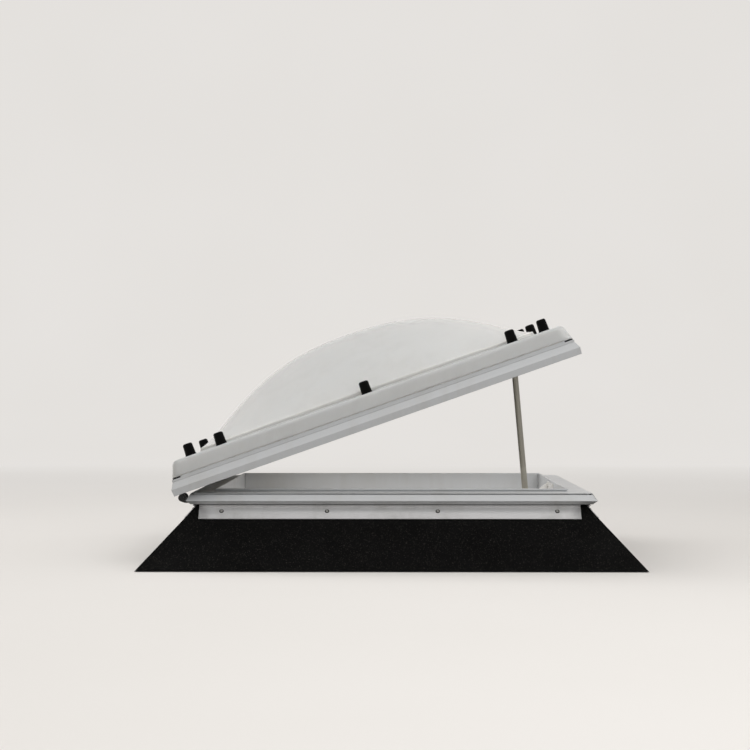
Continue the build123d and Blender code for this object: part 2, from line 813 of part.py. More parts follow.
# Opener geometry: the pivot in the console, and the pin on the lid shut and open
pivot_x = half_x - drive_out
pin_shut = Vector(half_x + lid_inset - pin_reach, 0, lid_base + pin_rise)
pin_open = in_lid(pin_shut.X, 0, pin_shut.Z).origin
pivot = Vector(pivot_x, 0, drive_z)
drive_length = (pin_open - pivot).length
drive_dir = (pin_open - pivot) / drive_length
drive_plane = Plane(origin=pivot, x_dir=(drive_dir.Z, 0, -drive_dir.X), z_dir=drive_dir)


def on_drive(x, y, z):
    """A plane square to the tube, at a place measured from the pivot along the tube."""
    return Plane(drive_plane.location * Location((x, y, z)))


# Toothed tube: drawn tube with rack teeth milled along its back, and a flattened top for the eye
tube_top = drive_length - eye_radius - eye_neck / 2
stroke = drive_length - (pin_shut - pivot).length
tooth_count = math.ceil(stroke / tooth_pitch) + spare_teeth
with BuildPart() as rack_tube:
    with BuildSketch(on_drive(0, 0, -tube_tail)):
        Circle(tube_radius)
        Circle(tube_bore, mode=Mode.SUBTRACT)
    extrude(amount=tube_top + tube_tail)
    with BuildPart(mode=Mode.PRIVATE) as one_space:
        with BuildSketch(Plane.YZ):
            with Locations((tube_radius, 0)):
                Trapezoid(2 * tooth_depth, tooth_pitch * 0.45, 78, rotation=90)
        extrude(amount=tube_radius, both=True)
    with Locations(*[on_drive(0, 0, tooth_pitch * (step - 1)).location for step in range(tooth_count)]):
        add(one_space.part, mode=Mode.SUBTRACT)
write(rack_tube, "rack_tube")

# Eye: a turned stem that plugs into the tube, with a flat eye across the lid pin
stem_depth = 18.0
eye_plane = Plane(drive_plane.location * Plane(origin=(0, 0, drive_length), z_dir=(0, 1, 0)).location)
with BuildPart() as rack_eye:
    with BuildSketch(on_drive(0, 0, tube_top - stem_depth)):
        Circle(tube_bore - bush_seat_fit)
    extrude(amount=stem_depth)
    with BuildSketch(on_drive(0, 0, tube_top + layer_bond)):
        RectangleRounded(2 * tube_radius, eye_thickness, 3)
    extrude(amount=drive_length - tube_top - layer_bond)
    with BuildSketch(eye_plane):
        Circle(eye_radius)
    extrude(amount=eye_thickness / 2, both=True)
    with BuildSketch(eye_plane):
        Circle(clevis_pin_radius + eye_clearance)
    extrude(amount=eye_thickness, both=True, mode=Mode.SUBTRACT)
    with BuildSketch(on_drive(0, 0, tube_top - layer_bond)):
        Circle(tube_bore - bush_seat_fit)
    extrude(amount=3 * layer_bond)
write(rack_eye, "rack_eye")

# Drive housing: a rounded casting bored for the tube's two guide bushes, with a trunnion at each end
bush_outer = tube_radius + bush_running_fit + bush_wall
housing_height = housing_above + housing_below
cover_half_y = housing_length / 2 - cover_margin
cover_half_z = housing_height / 2 - cover_margin
cover_plane = Plane(
    on_drive(-housing_width / 2 - layer_bond, 0, (housing_above - housing_below) / 2).location
    * Plane(origin=(0, 0, 0), x_dir=(0, 1, 0), z_dir=(-1, 0, 0)).location
)
cover_spots = [
    (cover_plane.offset(cover_sheet)).location * Location((y, z, 0))
    for y in (cover_inset - cover_half_y, cover_half_y - cover_inset)
    for z in (cover_inset - cover_half_z, cover_half_z - cover_inset)
]
with BuildPart() as drive_housing:
    with BuildSketch(on_drive(0, 0, -housing_below)):
        RectangleRounded(housing_width, housing_length, housing_corner)
    extrude(amount=housing_height)
    fillet(drive_housing.edges().group_by(Axis((0, 0, 0), drive_dir))[-1], 4)
    for end in (-1, 1):
        end_plane = Plane(
            drive_plane.location * Plane(origin=(0, end * housing_length / 2, 0), z_dir=(0, end, 0)).location
        )
        with BuildSketch(end_plane):
            Circle(trunnion_radius)
        extrude(amount=console_gap + console_sheet + 2)
    with Locations(on_drive(0, 0, housing_above)):
        Hole(bush_outer + bush_seat_fit, depth=housing_height)
    with Locations(*cover_spots):
        Hole(leaf_screw_radius, depth=leaf_screw_length)
write(drive_housing, "drive_housing")

# Gear cover on the housing's inner face, with a screw at each corner
with BuildPart() as housing_cover:
    with BuildSketch(cover_plane):
        RectangleRounded(2 * cover_half_y, 2 * cover_half_z, housing_corner / 2)
    extrude(amount=cover_sheet)
    with Locations(*cover_spots):
        Hole(leaf_screw_radius, depth=leaf_screw_length)
write(housing_cover, "housing_cover")
write(
    screw_group(cover_spots, cover_head_radius, cover_head_height, leaf_shank, leaf_screw_length - 1),
    "cover_screws",
)

# Guide bushes: flanged plastic sleeves pressed into the top and the bottom of the housing
for name, level, turn in (("guide_bush_top", housing_above, 0), ("guide_bush_bottom", -housing_below, 180)):
    bush_base = Plane(on_drive(0, 0, level).location * Location((0, 0, 0), (turn, 0, 0)))
    with BuildPart() as guide_bush:
        with BuildSketch(bush_base.offset(layer_bond)):
            Circle(bush_outer + bush_collar_reach)
        extrude(amount=bush_collar)
        with BuildSketch(bush_base.offset(layer_bond)):
            Circle(bush_outer)
        extrude(amount=-housing_height * 0.4)
        with Locations(bush_base.offset(bush_collar + layer_bond)):
            Hole(tube_radius + bush_running_fit, depth=housing_height)
    write(guide_bush, name)

# Cable gland on the underside, for the motor lead
gland_turn = Location((0, 0, 0), (180, 0, 0))
gland_plane = Plane(on_drive(0, housing_length / 3, -housing_below).location * gland_turn)
with BuildPart() as cable_gland:
    with BuildSketch(gland_plane.offset(layer_bond)):
        RegularPolygon(8, 6)
    extrude(amount=4)
    with BuildSketch(gland_plane.offset(4 + layer_bond)):
        Circle(5.5)
    extrude(amount=3.5, taper=12)
    with Locations(gland_plane.offset(7.5 + layer_bond)):
        Hole(3, depth=6)
write(cable_gland, "cable_gland")

# Wall console: a bent sheet screwed to the kerb, whose two gussets carry the trunnions
gusset_y = housing_length / 2 + console_gap
with BuildPart() as wall_console:
    with BuildSketch(Plane.YZ.offset(half_x - console_sheet)):
        with Locations((0, (console_top + kerb_leg_bottom) / 2)):
            Rectangle(2 * (gusset_y + console_sheet), console_top - kerb_leg_bottom)
    extrude(amount=console_sheet)
    for end in (-1, 1):
        gusset_plane = Plane(origin=(0, end * gusset_y, 0), x_dir=(1, 0, 0), z_dir=(0, -1, 0))
        with BuildSketch(gusset_plane):
            with BuildLine():
                Polyline(
                    (half_x, console_top),
                    (half_x - gusset_shoulder[0], console_top - gusset_shoulder[1]),
                    (pivot_x, console_top - gusset_waist),
                    (pivot_x - console_boss, drive_z),
                    (pivot_x + console_boss, drive_z),
                    (half_x, kerb_leg_bottom),
                    close=True,
                )
            make_face()
            with Locations((pivot_x, drive_z)):
                Circle(console_boss)
                Circle(trunnion_radius + trunnion_fit, mode=Mode.SUBTRACT)
        extrude(amount=-end * console_sheet)
    with Locations(*console_screw_spots):
        Hole(leaf_screw_radius, depth=leaf_screw_length)
write(wall_console, "wall_console")
write(screw_group(console_screw_spots, 4.2, 2.4, leaf_shank, leaf_screw_length - 1), "console_screws")

# Lid bracket: a plate on the lid frame's inner face with two cheeks that carry the lid pin
cheek_in = eye_thickness / 2 + cheek_gap
with BuildPart() as lid_bracket:
    with BuildSketch(Plane(lid_placing * Plane.YZ.offset(bracket_face).location)):
        with Locations((0, bracket_middle_z)):
            RectangleRounded(2 * bracket_half, lid_height - 8, 4)
    extrude(amount=bracket_plate)
    for end in (-1, 1):
        cheek_plane = Plane(
            lid_placing * Plane(origin=(0, end * cheek_in, 0), x_dir=(1, 0, 0), z_dir=(0, -1, 0)).location
        )
        with BuildSketch(cheek_plane):
            with BuildLine():
                Polyline(
                    (bracket_face, lid_base + 5),
                    (bracket_face, lid_top - 5),
                    (pin_shut.X, pin_shut.Z + 9),
                    (pin_shut.X, pin_shut.Z - 9),
                    close=True,
                )
            make_face()
            with Locations((pin_shut.X, pin_shut.Z)):
                Circle(9)
                Circle(clevis_pin_radius + bush_seat_fit, mode=Mode.SUBTRACT)
        extrude(amount=-end * cheek_sheet)
    with Locations(*bracket_spots):
        Hole(leaf_screw_radius, depth=leaf_screw_length)
write(lid_bracket, "lid_bracket")
write(screw_group(bracket_spots, 4.2, 2.4, leaf_shank, leaf_screw_length - 1), "bracket_screws")

# Lid pin: a headed pin through both cheeks, with a spring clip pushed over its far end
clevis_half = cheek_in + cheek_sheet
with BuildPart() as lid_pin:
    start_y = -clevis_half - knuckle_gap
    start = Plane(lid_placing * Plane(origin=(pin_shut.X, start_y, pin_shut.Z), z_dir=(0, 1, 0)).location)
    with BuildSketch(start):
        Circle(clevis_pin_radius)
    extrude(amount=2 * clevis_half + 5)
    with BuildSketch(start):
        Circle(clevis_pin_radius + pin_head)
    extrude(amount=-pin_head)
write(lid_pin, "lid_pin")
with BuildPart() as pin_clip:
    clip_y = clevis_half + knuckle_gap
    clip_plane = Plane(lid_placing * Plane(origin=(pin_shut.X, clip_y, pin_shut.Z), z_dir=(0, 1, 0)).location)
    with BuildSketch(clip_plane):
        Circle(clevis_pin_radius + clip_reach)
        Circle(clevis_pin_radius + hinge_fixed_fit, mode=Mode.SUBTRACT)
    extrude(amount=clip_sheet)
write(pin_clip, "pin_clip")
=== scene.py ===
import json
import math

import bpy
import numpy as np
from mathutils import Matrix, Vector


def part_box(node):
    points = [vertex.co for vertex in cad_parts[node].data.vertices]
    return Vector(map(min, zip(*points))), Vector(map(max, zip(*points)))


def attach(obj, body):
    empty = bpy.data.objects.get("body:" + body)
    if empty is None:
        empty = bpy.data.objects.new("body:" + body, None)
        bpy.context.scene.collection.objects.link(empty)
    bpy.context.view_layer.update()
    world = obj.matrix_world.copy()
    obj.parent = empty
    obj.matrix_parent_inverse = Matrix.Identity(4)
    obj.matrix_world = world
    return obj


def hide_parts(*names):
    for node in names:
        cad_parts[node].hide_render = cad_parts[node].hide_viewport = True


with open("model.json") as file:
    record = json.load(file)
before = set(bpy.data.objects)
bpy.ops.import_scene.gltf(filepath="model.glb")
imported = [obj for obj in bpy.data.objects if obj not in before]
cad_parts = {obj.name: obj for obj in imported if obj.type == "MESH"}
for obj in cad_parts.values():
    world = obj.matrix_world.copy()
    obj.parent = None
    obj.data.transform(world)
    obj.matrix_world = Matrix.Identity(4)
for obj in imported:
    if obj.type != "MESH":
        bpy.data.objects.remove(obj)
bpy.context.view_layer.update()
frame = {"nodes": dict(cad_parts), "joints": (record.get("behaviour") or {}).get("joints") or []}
nodes = frame["nodes"]

# Camera: nearly level with the roof, far off, square to the front side of the skylight.
# A long lens, because the photograph was taken from some five metres away.
bpy.context.scene.view_settings.view_transform = "Standard"
camera = bpy.data.objects.new("camera", bpy.data.cameras.new("camera"))
camera.data.sensor_width = 36.0
camera.data.lens = 88.03
camera.location = (0.0015, -5.187, 0.447)
looking = Vector((-0.00927, 1.0, 0.00927))
camera.rotation_euler = looking.to_track_quat("-Z", "Y").to_euler()
bpy.context.scene.collection.objects.link(camera)
bpy.context.scene.camera = camera

# Floor and backdrop: one pale sheet that runs level under the skylight and curves up far behind it. Its
# profile is a straight run, a quarter circle and a straight rise. It looks pale, but throws back a darker
# grey on what stands over it, and it glows evenly where it has curved up.


def new_piece(name, points, faces):
    """A smooth mesh object from an array of points and lists of faces, turned so that its faces point
    outwards: six times a shell's volume is the sum of corner 0 . (corner 1 x corner 2) over its fans."""
    points = np.asarray(points, float).reshape(-1, 3)
    volume = 0.0
    for block in faces:
        fan = points[np.asarray(block)]
        first, second, third = fan[:, :1], fan[:, 1:-1], fan[:, 2:]
        volume += np.einsum("ijk,ijk->", first.repeat(second.shape[1], 1), np.cross(second, third))
    corners = [list(face) if volume > 0 else list(face)[::-1] for block in faces for face in block]
    mesh = bpy.data.meshes.new(name)
    mesh.from_pydata(points.tolist(), [], corners)
    mesh.polygons.foreach_set("use_smooth", np.ones(len(mesh.polygons), bool))
    mesh.update()
    made = bpy.data.objects.new(name, mesh)
    bpy.context.scene.collection.objects.link(made)
    return made


def grid_faces(rows, columns, joined_columns=False):
    """The four corners of each cell of a grid of rows x columns points, carried round where it is joined."""
    row = np.arange(rows - 1)[:, None]
    column = np.arange(columns if joined_columns else columns - 1)[None, :]
    next_row, next_column = row + 1, (column + 1) % columns
    corners = (row * columns + column, row * columns + next_column,
               next_row * columns + next_column, next_row * columns + column)
    return np.stack(np.broadcast_arrays(*corners), -1).reshape(-1, 4)


def node(tree, kind, **values):
    """Adds one shader node. in0, in1 and so on set or link an input by number, a capital an input by name,
    with _ for a space, and a small letter sets a property of the node."""
    made = tree.nodes.new("ShaderNode" + kind)
    for key, value in values.items():
        if key[0].islower() and not key[2:].isdigit():
            setattr(made, key, value)
            continue
        socket = made.inputs[int(key[2:]) if key[0] == "i" else key.replace("_", " ")]
        if isinstance(value, bpy.types.NodeSocket):
            tree.links.new(value, socket)
        else:
            socket.default_value = value
    return made


def paint(shade):
    """A colour as Blender holds it, from its red, green and blue in hexadecimal."""
    parts = [int(shade[place:place + 2], 16) / 255 for place in (1, 3, 5)]
    return [part / 12.92 if part <= 0.04045 else ((part + 0.055) / 1.055) ** 2.4 for part in parts] + [1.0]


def new_material(name, **values):
    """A Principled material, with its own plain values set on the shader: the material, tree and shader."""
    made = bpy.data.materials.new(name)
    made.use_nodes = True
    shader = made.node_tree.nodes["Principled BSDF"]
    for key, value in values.items():
        shader.inputs[key.replace("_", " ")].default_value = value
    return made, made.node_tree, shader


def mix(tree, factor, first, second):
    """A mix of two colours by a factor."""
    return node(tree, "Mix", data_type="RGBA", in0=factor, in6=first, in7=second).outputs[2]


def blend_values(tree, factor, first, second):
    """A mix of two numbers by a factor."""
    return node(tree, "Mix", data_type="FLOAT", in0=factor, in2=first, in3=second).outputs[0]


def spread(tree, value, low, high, to_low=0.0, to_high=1.0):
    """A value stretched from one range to another, and held at its ends."""
    return node(tree, "MapRange", in0=value, in1=low, in2=high, in3=to_low, in4=to_high).outputs[0]


HALF_FLOOR, BEND_START, BEND, BACKDROP_TOP = 14.0, 6.0, 2.5, 12.0
turn = np.linspace(0.0, math.pi / 2, 24)
level_run = [-HALF_FLOOR, 0.0, BEND_START / 2]
run = np.concatenate([level_run, BEND_START + BEND * np.sin(turn), [BEND_START + BEND]])
rise = np.concatenate([[0.0, 0.0, 0.0], BEND - BEND * np.cos(turn), [BACKDROP_TOP]])
width = np.linspace(-HALF_FLOOR, HALF_FLOOR, 5)
sheet = np.stack(np.broadcast_arrays(width[:, None], run[None, :], rise[None, :]), -1)
floor = new_piece("floor", sheet, [grid_faces(len(width), len(run))])
floor_finish, tree, shader = new_material("floor_finish", Roughness=0.85)
place = node(tree, "TexCoord").outputs["Object"]
cloudy = node(tree, "TexNoise", Vector=place, Scale=0.7, Detail=3.0).outputs[0]
shade = mix(tree, cloudy, paint("#e2dfdb"), paint("#e7e4e1"))
thrown_back = paint("#8f8c88")
rays = node(tree, "LightPath").outputs
looked_at = node(tree, "Math", operation="MAXIMUM", in0=rays["Is Camera Ray"], in1=rays["Is Glossy Ray"])
tree.links.new(mix(tree, looked_at.outputs[0], thrown_back, shade), shader.inputs["Base Color"])
glow = node(tree, "Emission", Color=shade)
away = spread(tree, node(tree, "SeparateXYZ", in0=place).outputs["Y"], 1.0, BEND_START)
seen = node(tree, "Math", operation="MULTIPLY", in0=away, in1=looked_at.outputs[0])
blend = node(tree, "MixShader", in0=seen.outputs[0], in1=shader.outputs[0], in2=glow.outputs[0])
tree.links.new(blend.outputs[0], tree.nodes["Material Output"].inputs["Surface"])
floor.data.materials.append(floor_finish)

# Light: a slightly warm sky, brighter overhead, which the camera sees as one even grey. Two broad soft
# lamps stand high, behind the skylight's left and in front of it, and a faint one in the opening gives the
# daylight that comes down through the opal dome.
HORIZON, ZENITH = 0.34, 0.92
MIRRORED_HORIZON, MIRRORED_ZENITH = 0.45, 0.95
SKY_SHOWN = 0.77
world = bpy.data.worlds.new("sky")
world.use_nodes = True
sky = world.node_tree
background = sky.nodes["Background"]
background.inputs["Color"].default_value = (1.0, 0.985, 0.965, 1.0)
bpy.context.scene.world = world
direction = node(sky, "TexCoord").outputs["Generated"]
tall = node(sky, "SeparateXYZ", in0=direction).outputs["Z"]
mirrored = spread(sky, tall, 0.3, 0.85, MIRRORED_HORIZON, MIRRORED_ZENITH)
open_sky = spread(sky, tall, 0.0, 0.75, HORIZON, ZENITH)
rays = node(sky, "LightPath").outputs
lit = blend_values(sky, rays["Is Glossy Ray"], open_sky, mirrored)
sky.links.new(blend_values(sky, rays["Is Camera Ray"], lit, SKY_SHOWN), background.inputs["Strength"])
for name, spot, aim, size, power in (
    ("sky_patch", (-1.9, 1.6, 4.3), (0, 0, 0.3), 3.2, 62.0),
    ("front_fill", (1.7, -3.4, 3.4), (0, 0, 0.3), 3.0, 68.0),
    ("through_dome", (0.05, 0.0, 0.235), (0.05, 0.0, 0.0), 0.72, 2.4),
):
    lamp = bpy.data.objects.new(name, bpy.data.lights.new(name, "AREA"))
    lamp.data.size = size
    lamp.data.energy = power
    lamp.location = spot
    lamp.visible_glossy = False
    lamp.visible_camera = False
    lamp.rotation_euler = (Vector(aim) - lamp.location).to_track_quat("-Z", "Y").to_euler()
    bpy.context.scene.collection.objects.link(lamp)

# Upstand: a ring moulded in one piece from white glass-filled plastic, standing on its turned-in foot.
# Only its inner wall shows, below the kerb's leg, with the faint cloudy sheen of a moulding.
grain = bpy.data.node_groups.new("fine_grain", "ShaderNodeTree")
grain.interface.new_socket("Place", in_out="INPUT", socket_type="NodeSocketVector")
for name in ("Size", "Depth"):
    grain.interface.new_socket(name, in_out="INPUT", socket_type="NodeSocketFloat")
grain.interface.new_socket("Normal", in_out="OUTPUT", socket_type="NodeSocketVector")
entry, leave = grain.nodes.new("NodeGroupInput"), grain.nodes.new("NodeGroupOutput")
fine = node(grain, "TexNoise", Vector=entry.outputs["Place"], Detail=4.0, Scale=entry.outputs["Size"])
bump = node(grain, "Bump", Distance=0.001, Strength=entry.outputs["Depth"], Height=fine.outputs[0])
grain.links.new(bump.outputs[0], leave.inputs["Normal"])

soiling = bpy.data.node_groups.new("rain_soiling", "ShaderNodeTree")
soiling.interface.new_socket("Place", in_out="INPUT", socket_type="NodeSocketVector")
soiling.interface.new_socket("Amount", in_out="INPUT", socket_type="NodeSocketFloat")
soiling.interface.new_socket("Mask", in_out="OUTPUT", socket_type="NodeSocketFloat")
entry, leave = soiling.nodes.new("NodeGroupInput"), soiling.nodes.new("NodeGroupOutput")
stretched = node(soiling, "Mapping", in0=entry.outputs["Place"], in3=(14.0, 14.0, 2.2))
streaks = node(soiling, "TexNoise", Vector=stretched.outputs[0], Scale=2.0, Detail=5.0, Roughness=0.6)
patches = node(soiling, "TexNoise", Vector=entry.outputs["Place"], Scale=6.0, Detail=6.0, Roughness=0.65)
both = node(soiling, "Math", operation="MULTIPLY", in0=streaks.outputs[0], in1=patches.outputs[0])
mask = spread(soiling, both.outputs[0], 0.22, 0.42)
amount = node(soiling, "Math", operation="MULTIPLY", in0=mask, in1=entry.outputs["Amount"])
soiling.links.new(amount.outputs[0], leave.inputs["Mask"])


def effect(tree, group, **values):
    """Places a shared effect in a material and gives its one output."""
    placed = tree.nodes.new("ShaderNodeGroup")
    placed.node_tree = group
    for key, value in values.items():
        if isinstance(value, bpy.types.NodeSocket):
            tree.links.new(value, placed.inputs[key])
        else:
            placed.inputs[key].default_value = value
    return placed.outputs[0]


def plastic(name, clean, soiled, amount, roughness, grain_size, grain_depth):
    """A moulded or drawn plastic: its colour clouded by soiling, its gloss broken by a fine grain."""
    made, tree, shader = new_material(name)
    place = node(tree, "TexCoord").outputs["Object"]
    mask = effect(tree, soiling, Place=place, Amount=amount)
    tree.links.new(mix(tree, mask, paint(clean), paint(soiled)), shader.inputs["Base Color"])
    tree.links.new(spread(tree, mask, 0.0, 1.0, roughness, roughness + 0.25), shader.inputs["Roughness"])
    bumped = effect(tree, grain, Place=place, Size=grain_size, Depth=grain_depth)
    tree.links.new(bumped, shader.inputs["Normal"])
    return made


def finish_node(name, material):
    """Gives a CAD node its material."""
    nodes[name].data.materials.clear()
    nodes[name].data.materials.append(material)


moulding = plastic("upstand_moulding", "#dcdad5", "#b9b5ab", 0.5, 0.42, 900.0, 0.12)
finish_node("upstand", moulding)

# Felt: four sheets of black roofing felt, torched onto the slopes and trimmed at the foot, with stone
# granules on top. The front and back ones are turned round the hips, so a lap ends on each side slope.
SIDES = {"front": (0, -1), "right": (1, 0), "back": (0, 1), "left": (-1, 0)}
half_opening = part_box("kerb_right")[0].x
felt_low, felt_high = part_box("felt_right")
HORIZONTAL = felt_high.x - half_opening
FELT_TOP_OUT, FELT_SHEET, DRAWN_IN = 0.046, 0.0035, 0.9995
LAP_WIDTH, LAP_STEP, LAP_EDGE = 0.078, 0.0016, 0.001
BED_DIP = 0.0005


def in_plan(side, along, out, up):
    """Points given along a side, out from the opening and up, set in the row frame.
    The point is (out + half opening) x the side's outward direction + along x the direction to its right,
    as seen by someone who faces that side."""
    outward = np.array(SIDES[side], float)
    rightward = np.array([-outward[1], outward[0]])
    flat = (out + half_opening)[..., None] * outward + along[..., None] * rightward
    return np.concatenate([flat, np.broadcast_to(up, flat.shape[:-1])[..., None]], -1)


def felt_sheet(side, lapped):
    """A sheet on a slope, from s = -1 to 1 along and t = 0 to 1 down, its ends on the hips:
    along = s x (half + out). It dips where it is bedded in bitumen, by a sum of three sines, and lies lower
    by the step beyond each lap's edge. Its under face lies a sheet's thickness further in."""
    top, foot = FELT_TOP_OUT, HORIZONTAL
    high, low = felt_high.z, felt_low.z
    down = np.linspace(0.0, 1.0, 46)[None, :]
    lap = [LAP_WIDTH - LAP_EDGE, LAP_WIDTH + LAP_EDGE] if lapped else []
    near = np.array([0.0, 0.004, 0.012, 0.03, 0.06, *lap, 0.1])
    middle = np.linspace(-1, 1, 90)
    out = top + (foot - top) * down
    reach = half_opening + out
    inner = reach - near[-1]
    along = np.concatenate([
        -(reach - near[:, None]),
        middle[1:-1, None] * inner,
        (reach - near[::-1, None]),
    ])
    out, up = np.broadcast_to(out, along.shape), np.broadcast_to(high + (low - high) * down, along.shape)
    waves = sum(np.sin(along * a + down * d) for a, d in ((21, 3), (47, -9), (9, 13))) / 3
    sink = BED_DIP * (1 - waves) * np.sin(math.pi * np.clip(down, 0.04, 0.96))
    if lapped:
        sink = sink + LAP_STEP * (reach - np.abs(along) > LAP_WIDTH)
    slope = math.atan2(high - low, foot - top)
    above = in_plan(side, along, out - sink * math.sin(slope), up - sink * math.cos(slope))
    under = in_plan(side, along * DRAWN_IN, out - FELT_SHEET, up)
    rows, columns = along.shape
    shell = np.stack([above, under])
    faces = grid_faces(rows, columns)
    back_faces = faces[:, ::-1] + rows * columns
    rim = np.concatenate([
        np.arange(columns), np.arange(1, rows) * columns + columns - 1,
        (rows - 1) * columns + np.arange(columns - 2, -1, -1), np.arange(rows - 2, 0, -1) * columns,
    ])
    next_rim = np.roll(rim, -1)
    wall = np.stack([next_rim, rim, rim + rows * columns, next_rim + rows * columns], -1)
    return new_piece(f"felt_{side}_sheet", shell, [faces, back_faces, wall])


felt_finish, tree, shader = new_material("mineral_felt")
shader.inputs["Specular IOR Level"].default_value = 0.12
place = node(tree, "TexCoord").outputs["Object"]
granules = node(tree, "TexVoronoi", Vector=place, Scale=620.0)
stones = node(tree, "TexNoise", Vector=place, Scale=1500.0, Detail=2.0)
worn = node(tree, "TexNoise", Vector=place, Scale=9.0, Detail=6.0, Roughness=0.6)
speck = spread(tree, granules.outputs["Color"], 0.78, 0.98)
dark = mix(tree, worn.outputs[0], paint("#030303"), paint("#080808"))
bright = mix(tree, stones.outputs[0], paint("#1c1b1a"), paint("#4b4843"))
tree.links.new(mix(tree, speck, dark, bright), shader.inputs["Base Color"])
tree.links.new(spread(tree, worn.outputs[0], 0.3, 0.7, 0.72, 0.95), shader.inputs["Roughness"])
relief = node(tree, "Bump", Distance=0.0009, Strength=0.8, Height=granules.outputs["Distance"])
tree.links.new(relief.outputs[0], shader.inputs["Normal"])
for side in SIDES:
    sheet = felt_sheet(side, side in ("left", "right"))
    sheet.data.materials.append(felt_finish)
    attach(sheet, "base")
    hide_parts(f"felt_{side}")

# Clamp bars: extruded aluminium strips with ribs and a rolled top lip, cut square and screwed down over the
# felt. The outline is the drawn one with each corner eased, carried straight along the slope.
EDGE_SHARE, LEAD_ON = 0.38, 1.25


def eased(outline, radius, steps=4):
    """A closed outline with its corners turned into curves: (1-t)^2 A + 2t(1-t) C + t^2 B, where C is the
    corner and A and B lie on its two edges. One more point beyond each of them keeps the flats flat."""
    outline = np.asarray(outline, float)
    before, after = np.roll(outline, 1, 0) - outline, np.roll(outline, -1, 0) - outline
    length_before = np.linalg.norm(before, axis=1, keepdims=True)
    length_after = np.linalg.norm(after, axis=1, keepdims=True)
    reach_before = np.minimum(radius, EDGE_SHARE * length_before)
    reach_after = np.minimum(radius, EDGE_SHARE * length_after)
    start = outline + before / length_before * reach_before
    end = outline + after / length_after * reach_after
    t = np.linspace(0.0, 1.0, steps)[None, :, None]
    curve = (1 - t) ** 2 * start[:, None] + 2 * t * (1 - t) * outline[:, None] + t ** 2 * end[:, None]
    lead = outline + before / length_before * reach_before * LEAD_ON
    trail = outline + after / length_after * reach_after * LEAD_ON
    return np.concatenate([lead[:, None], curve, trail[:, None]], 1).reshape(-1, 2)


def bar_mesh(name, stations):
    """A closed bar from its outline at each station along it, with a flat end at both."""
    rows, columns = stations.shape[:2]
    ends = [np.arange(columns)[None, ::-1], (rows - 1) * columns + np.arange(columns)[None, :]]
    return new_piece(name, stations, [grid_faces(rows, columns, joined_columns=True), *ends])


def on_slope(side, along, down, off):
    """A point on a felt slope: along it, down from its top edge and square off its face."""
    run, fall = HORIZONTAL - FELT_TOP_OUT, felt_high.z - felt_low.z
    length = math.hypot(run, fall)
    out = FELT_TOP_OUT + (down * run + off * fall) / length
    up = felt_high.z + (off * run - down * fall) / length
    along, out, up = np.broadcast_arrays(along, out, up)
    return in_plan(side, along, out, up)


BAR_DROP, BAR_WIDTH, BAR_SHEET, BAR_BED = 0.0065, 0.0425, 0.0024, 0.0002
BAR_LIP, LIP_THICK, LIP_ROUND, LIP_CHAMFER = 0.0086, 0.0052, 0.001, 0.0006
BEAD_WIDTH, BEAD_HEIGHT = 0.002, 0.001
RIB_WIDTH, RIB_HEIGHT = 0.0016, 0.0007
BAR_EASE = 0.0004
BAR_LEFT, BAR_RIGHT = 0.4905, 0.482
bar_outline = [(0, BAR_BED), (0, BAR_LIP - LIP_ROUND), (LIP_ROUND, BAR_LIP),
               (LIP_THICK - LIP_CHAMFER, BAR_LIP), (LIP_THICK, BAR_LIP - LIP_CHAMFER),
               (LIP_THICK, BAR_SHEET)]
for rib in (0.027, 0.0306, 0.0342, 0.0378):
    bar_outline += [(rib - RIB_WIDTH / 2, BAR_SHEET), (rib - RIB_WIDTH / 2, BAR_SHEET + RIB_HEIGHT),
                    (rib + RIB_WIDTH / 2, BAR_SHEET + RIB_HEIGHT), (rib + RIB_WIDTH / 2, BAR_SHEET)]
bar_outline += [(BAR_WIDTH - BEAD_WIDTH, BAR_SHEET), (BAR_WIDTH - BEAD_WIDTH, BAR_SHEET + BEAD_HEIGHT),
                (BAR_WIDTH, BAR_SHEET + BEAD_HEIGHT), (BAR_WIDTH, BAR_BED)]
bar_section = eased(bar_outline, BAR_EASE)

bar_finish, tree, shader = new_material("clamp_bar_aluminium", Metallic=0.55)
place = node(tree, "TexCoord").outputs["Object"]
mask = effect(tree, soiling, Place=place, Amount=0.4)
tree.links.new(mix(tree, mask, paint("#dadadb"), paint("#b4b4b1")), shader.inputs["Base Color"])
tree.links.new(spread(tree, mask, 0.0, 1.0, 0.34, 0.6), shader.inputs["Roughness"])
tree.links.new(effect(tree, grain, Place=place, Size=1400.0, Depth=0.1), shader.inputs["Normal"])
for side in SIDES:
    along = np.linspace(-BAR_LEFT, BAR_RIGHT, 30)[:, None]
    stations = on_slope(side, along, BAR_DROP + bar_section[None, :, 0], bar_section[None, :, 1])
    bar = bar_mesh(f"clamp_strip_{side}", stations)
    bar.data.materials.append(bar_finish)
    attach(bar, "base")
    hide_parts(f"clamp_bar_{side}")

# Screws of the clamp bars: pan heads of stainless steel with a cross slot, each on a dark rubber washer.
# Four stand in a line above the ribs of every bar, as unevenly spaced as on the real one.
BAR_SCREWS = (-0.433, -0.164, 0.118, 0.422)
SCREW_DROP = 0.018
HEAD_RADIUS, HEAD_HEIGHT, HEAD_SEAT = 0.0034, 0.0024, 0.0004
SLOT_HALF, SLOT_SIDE, SLOT_REACH, SLOT_END, SLOT_DEPTH, HEAD_UNDER = 0.13, 0.09, 0.55, 0.12, 0.62, 0.15
WASHER_RADIUS, WASHER_BORE, WASHER_SHEET, WASHER_CHAMFER = 0.0056, 0.002, 0.0009, 0.0004


def smooth_step(value):
    """0 below 0, 1 above 1 and 3v^2 - 2v^3 between."""
    value = np.clip(value, 0.0, 1.0)
    return value * value * (3 - 2 * value)


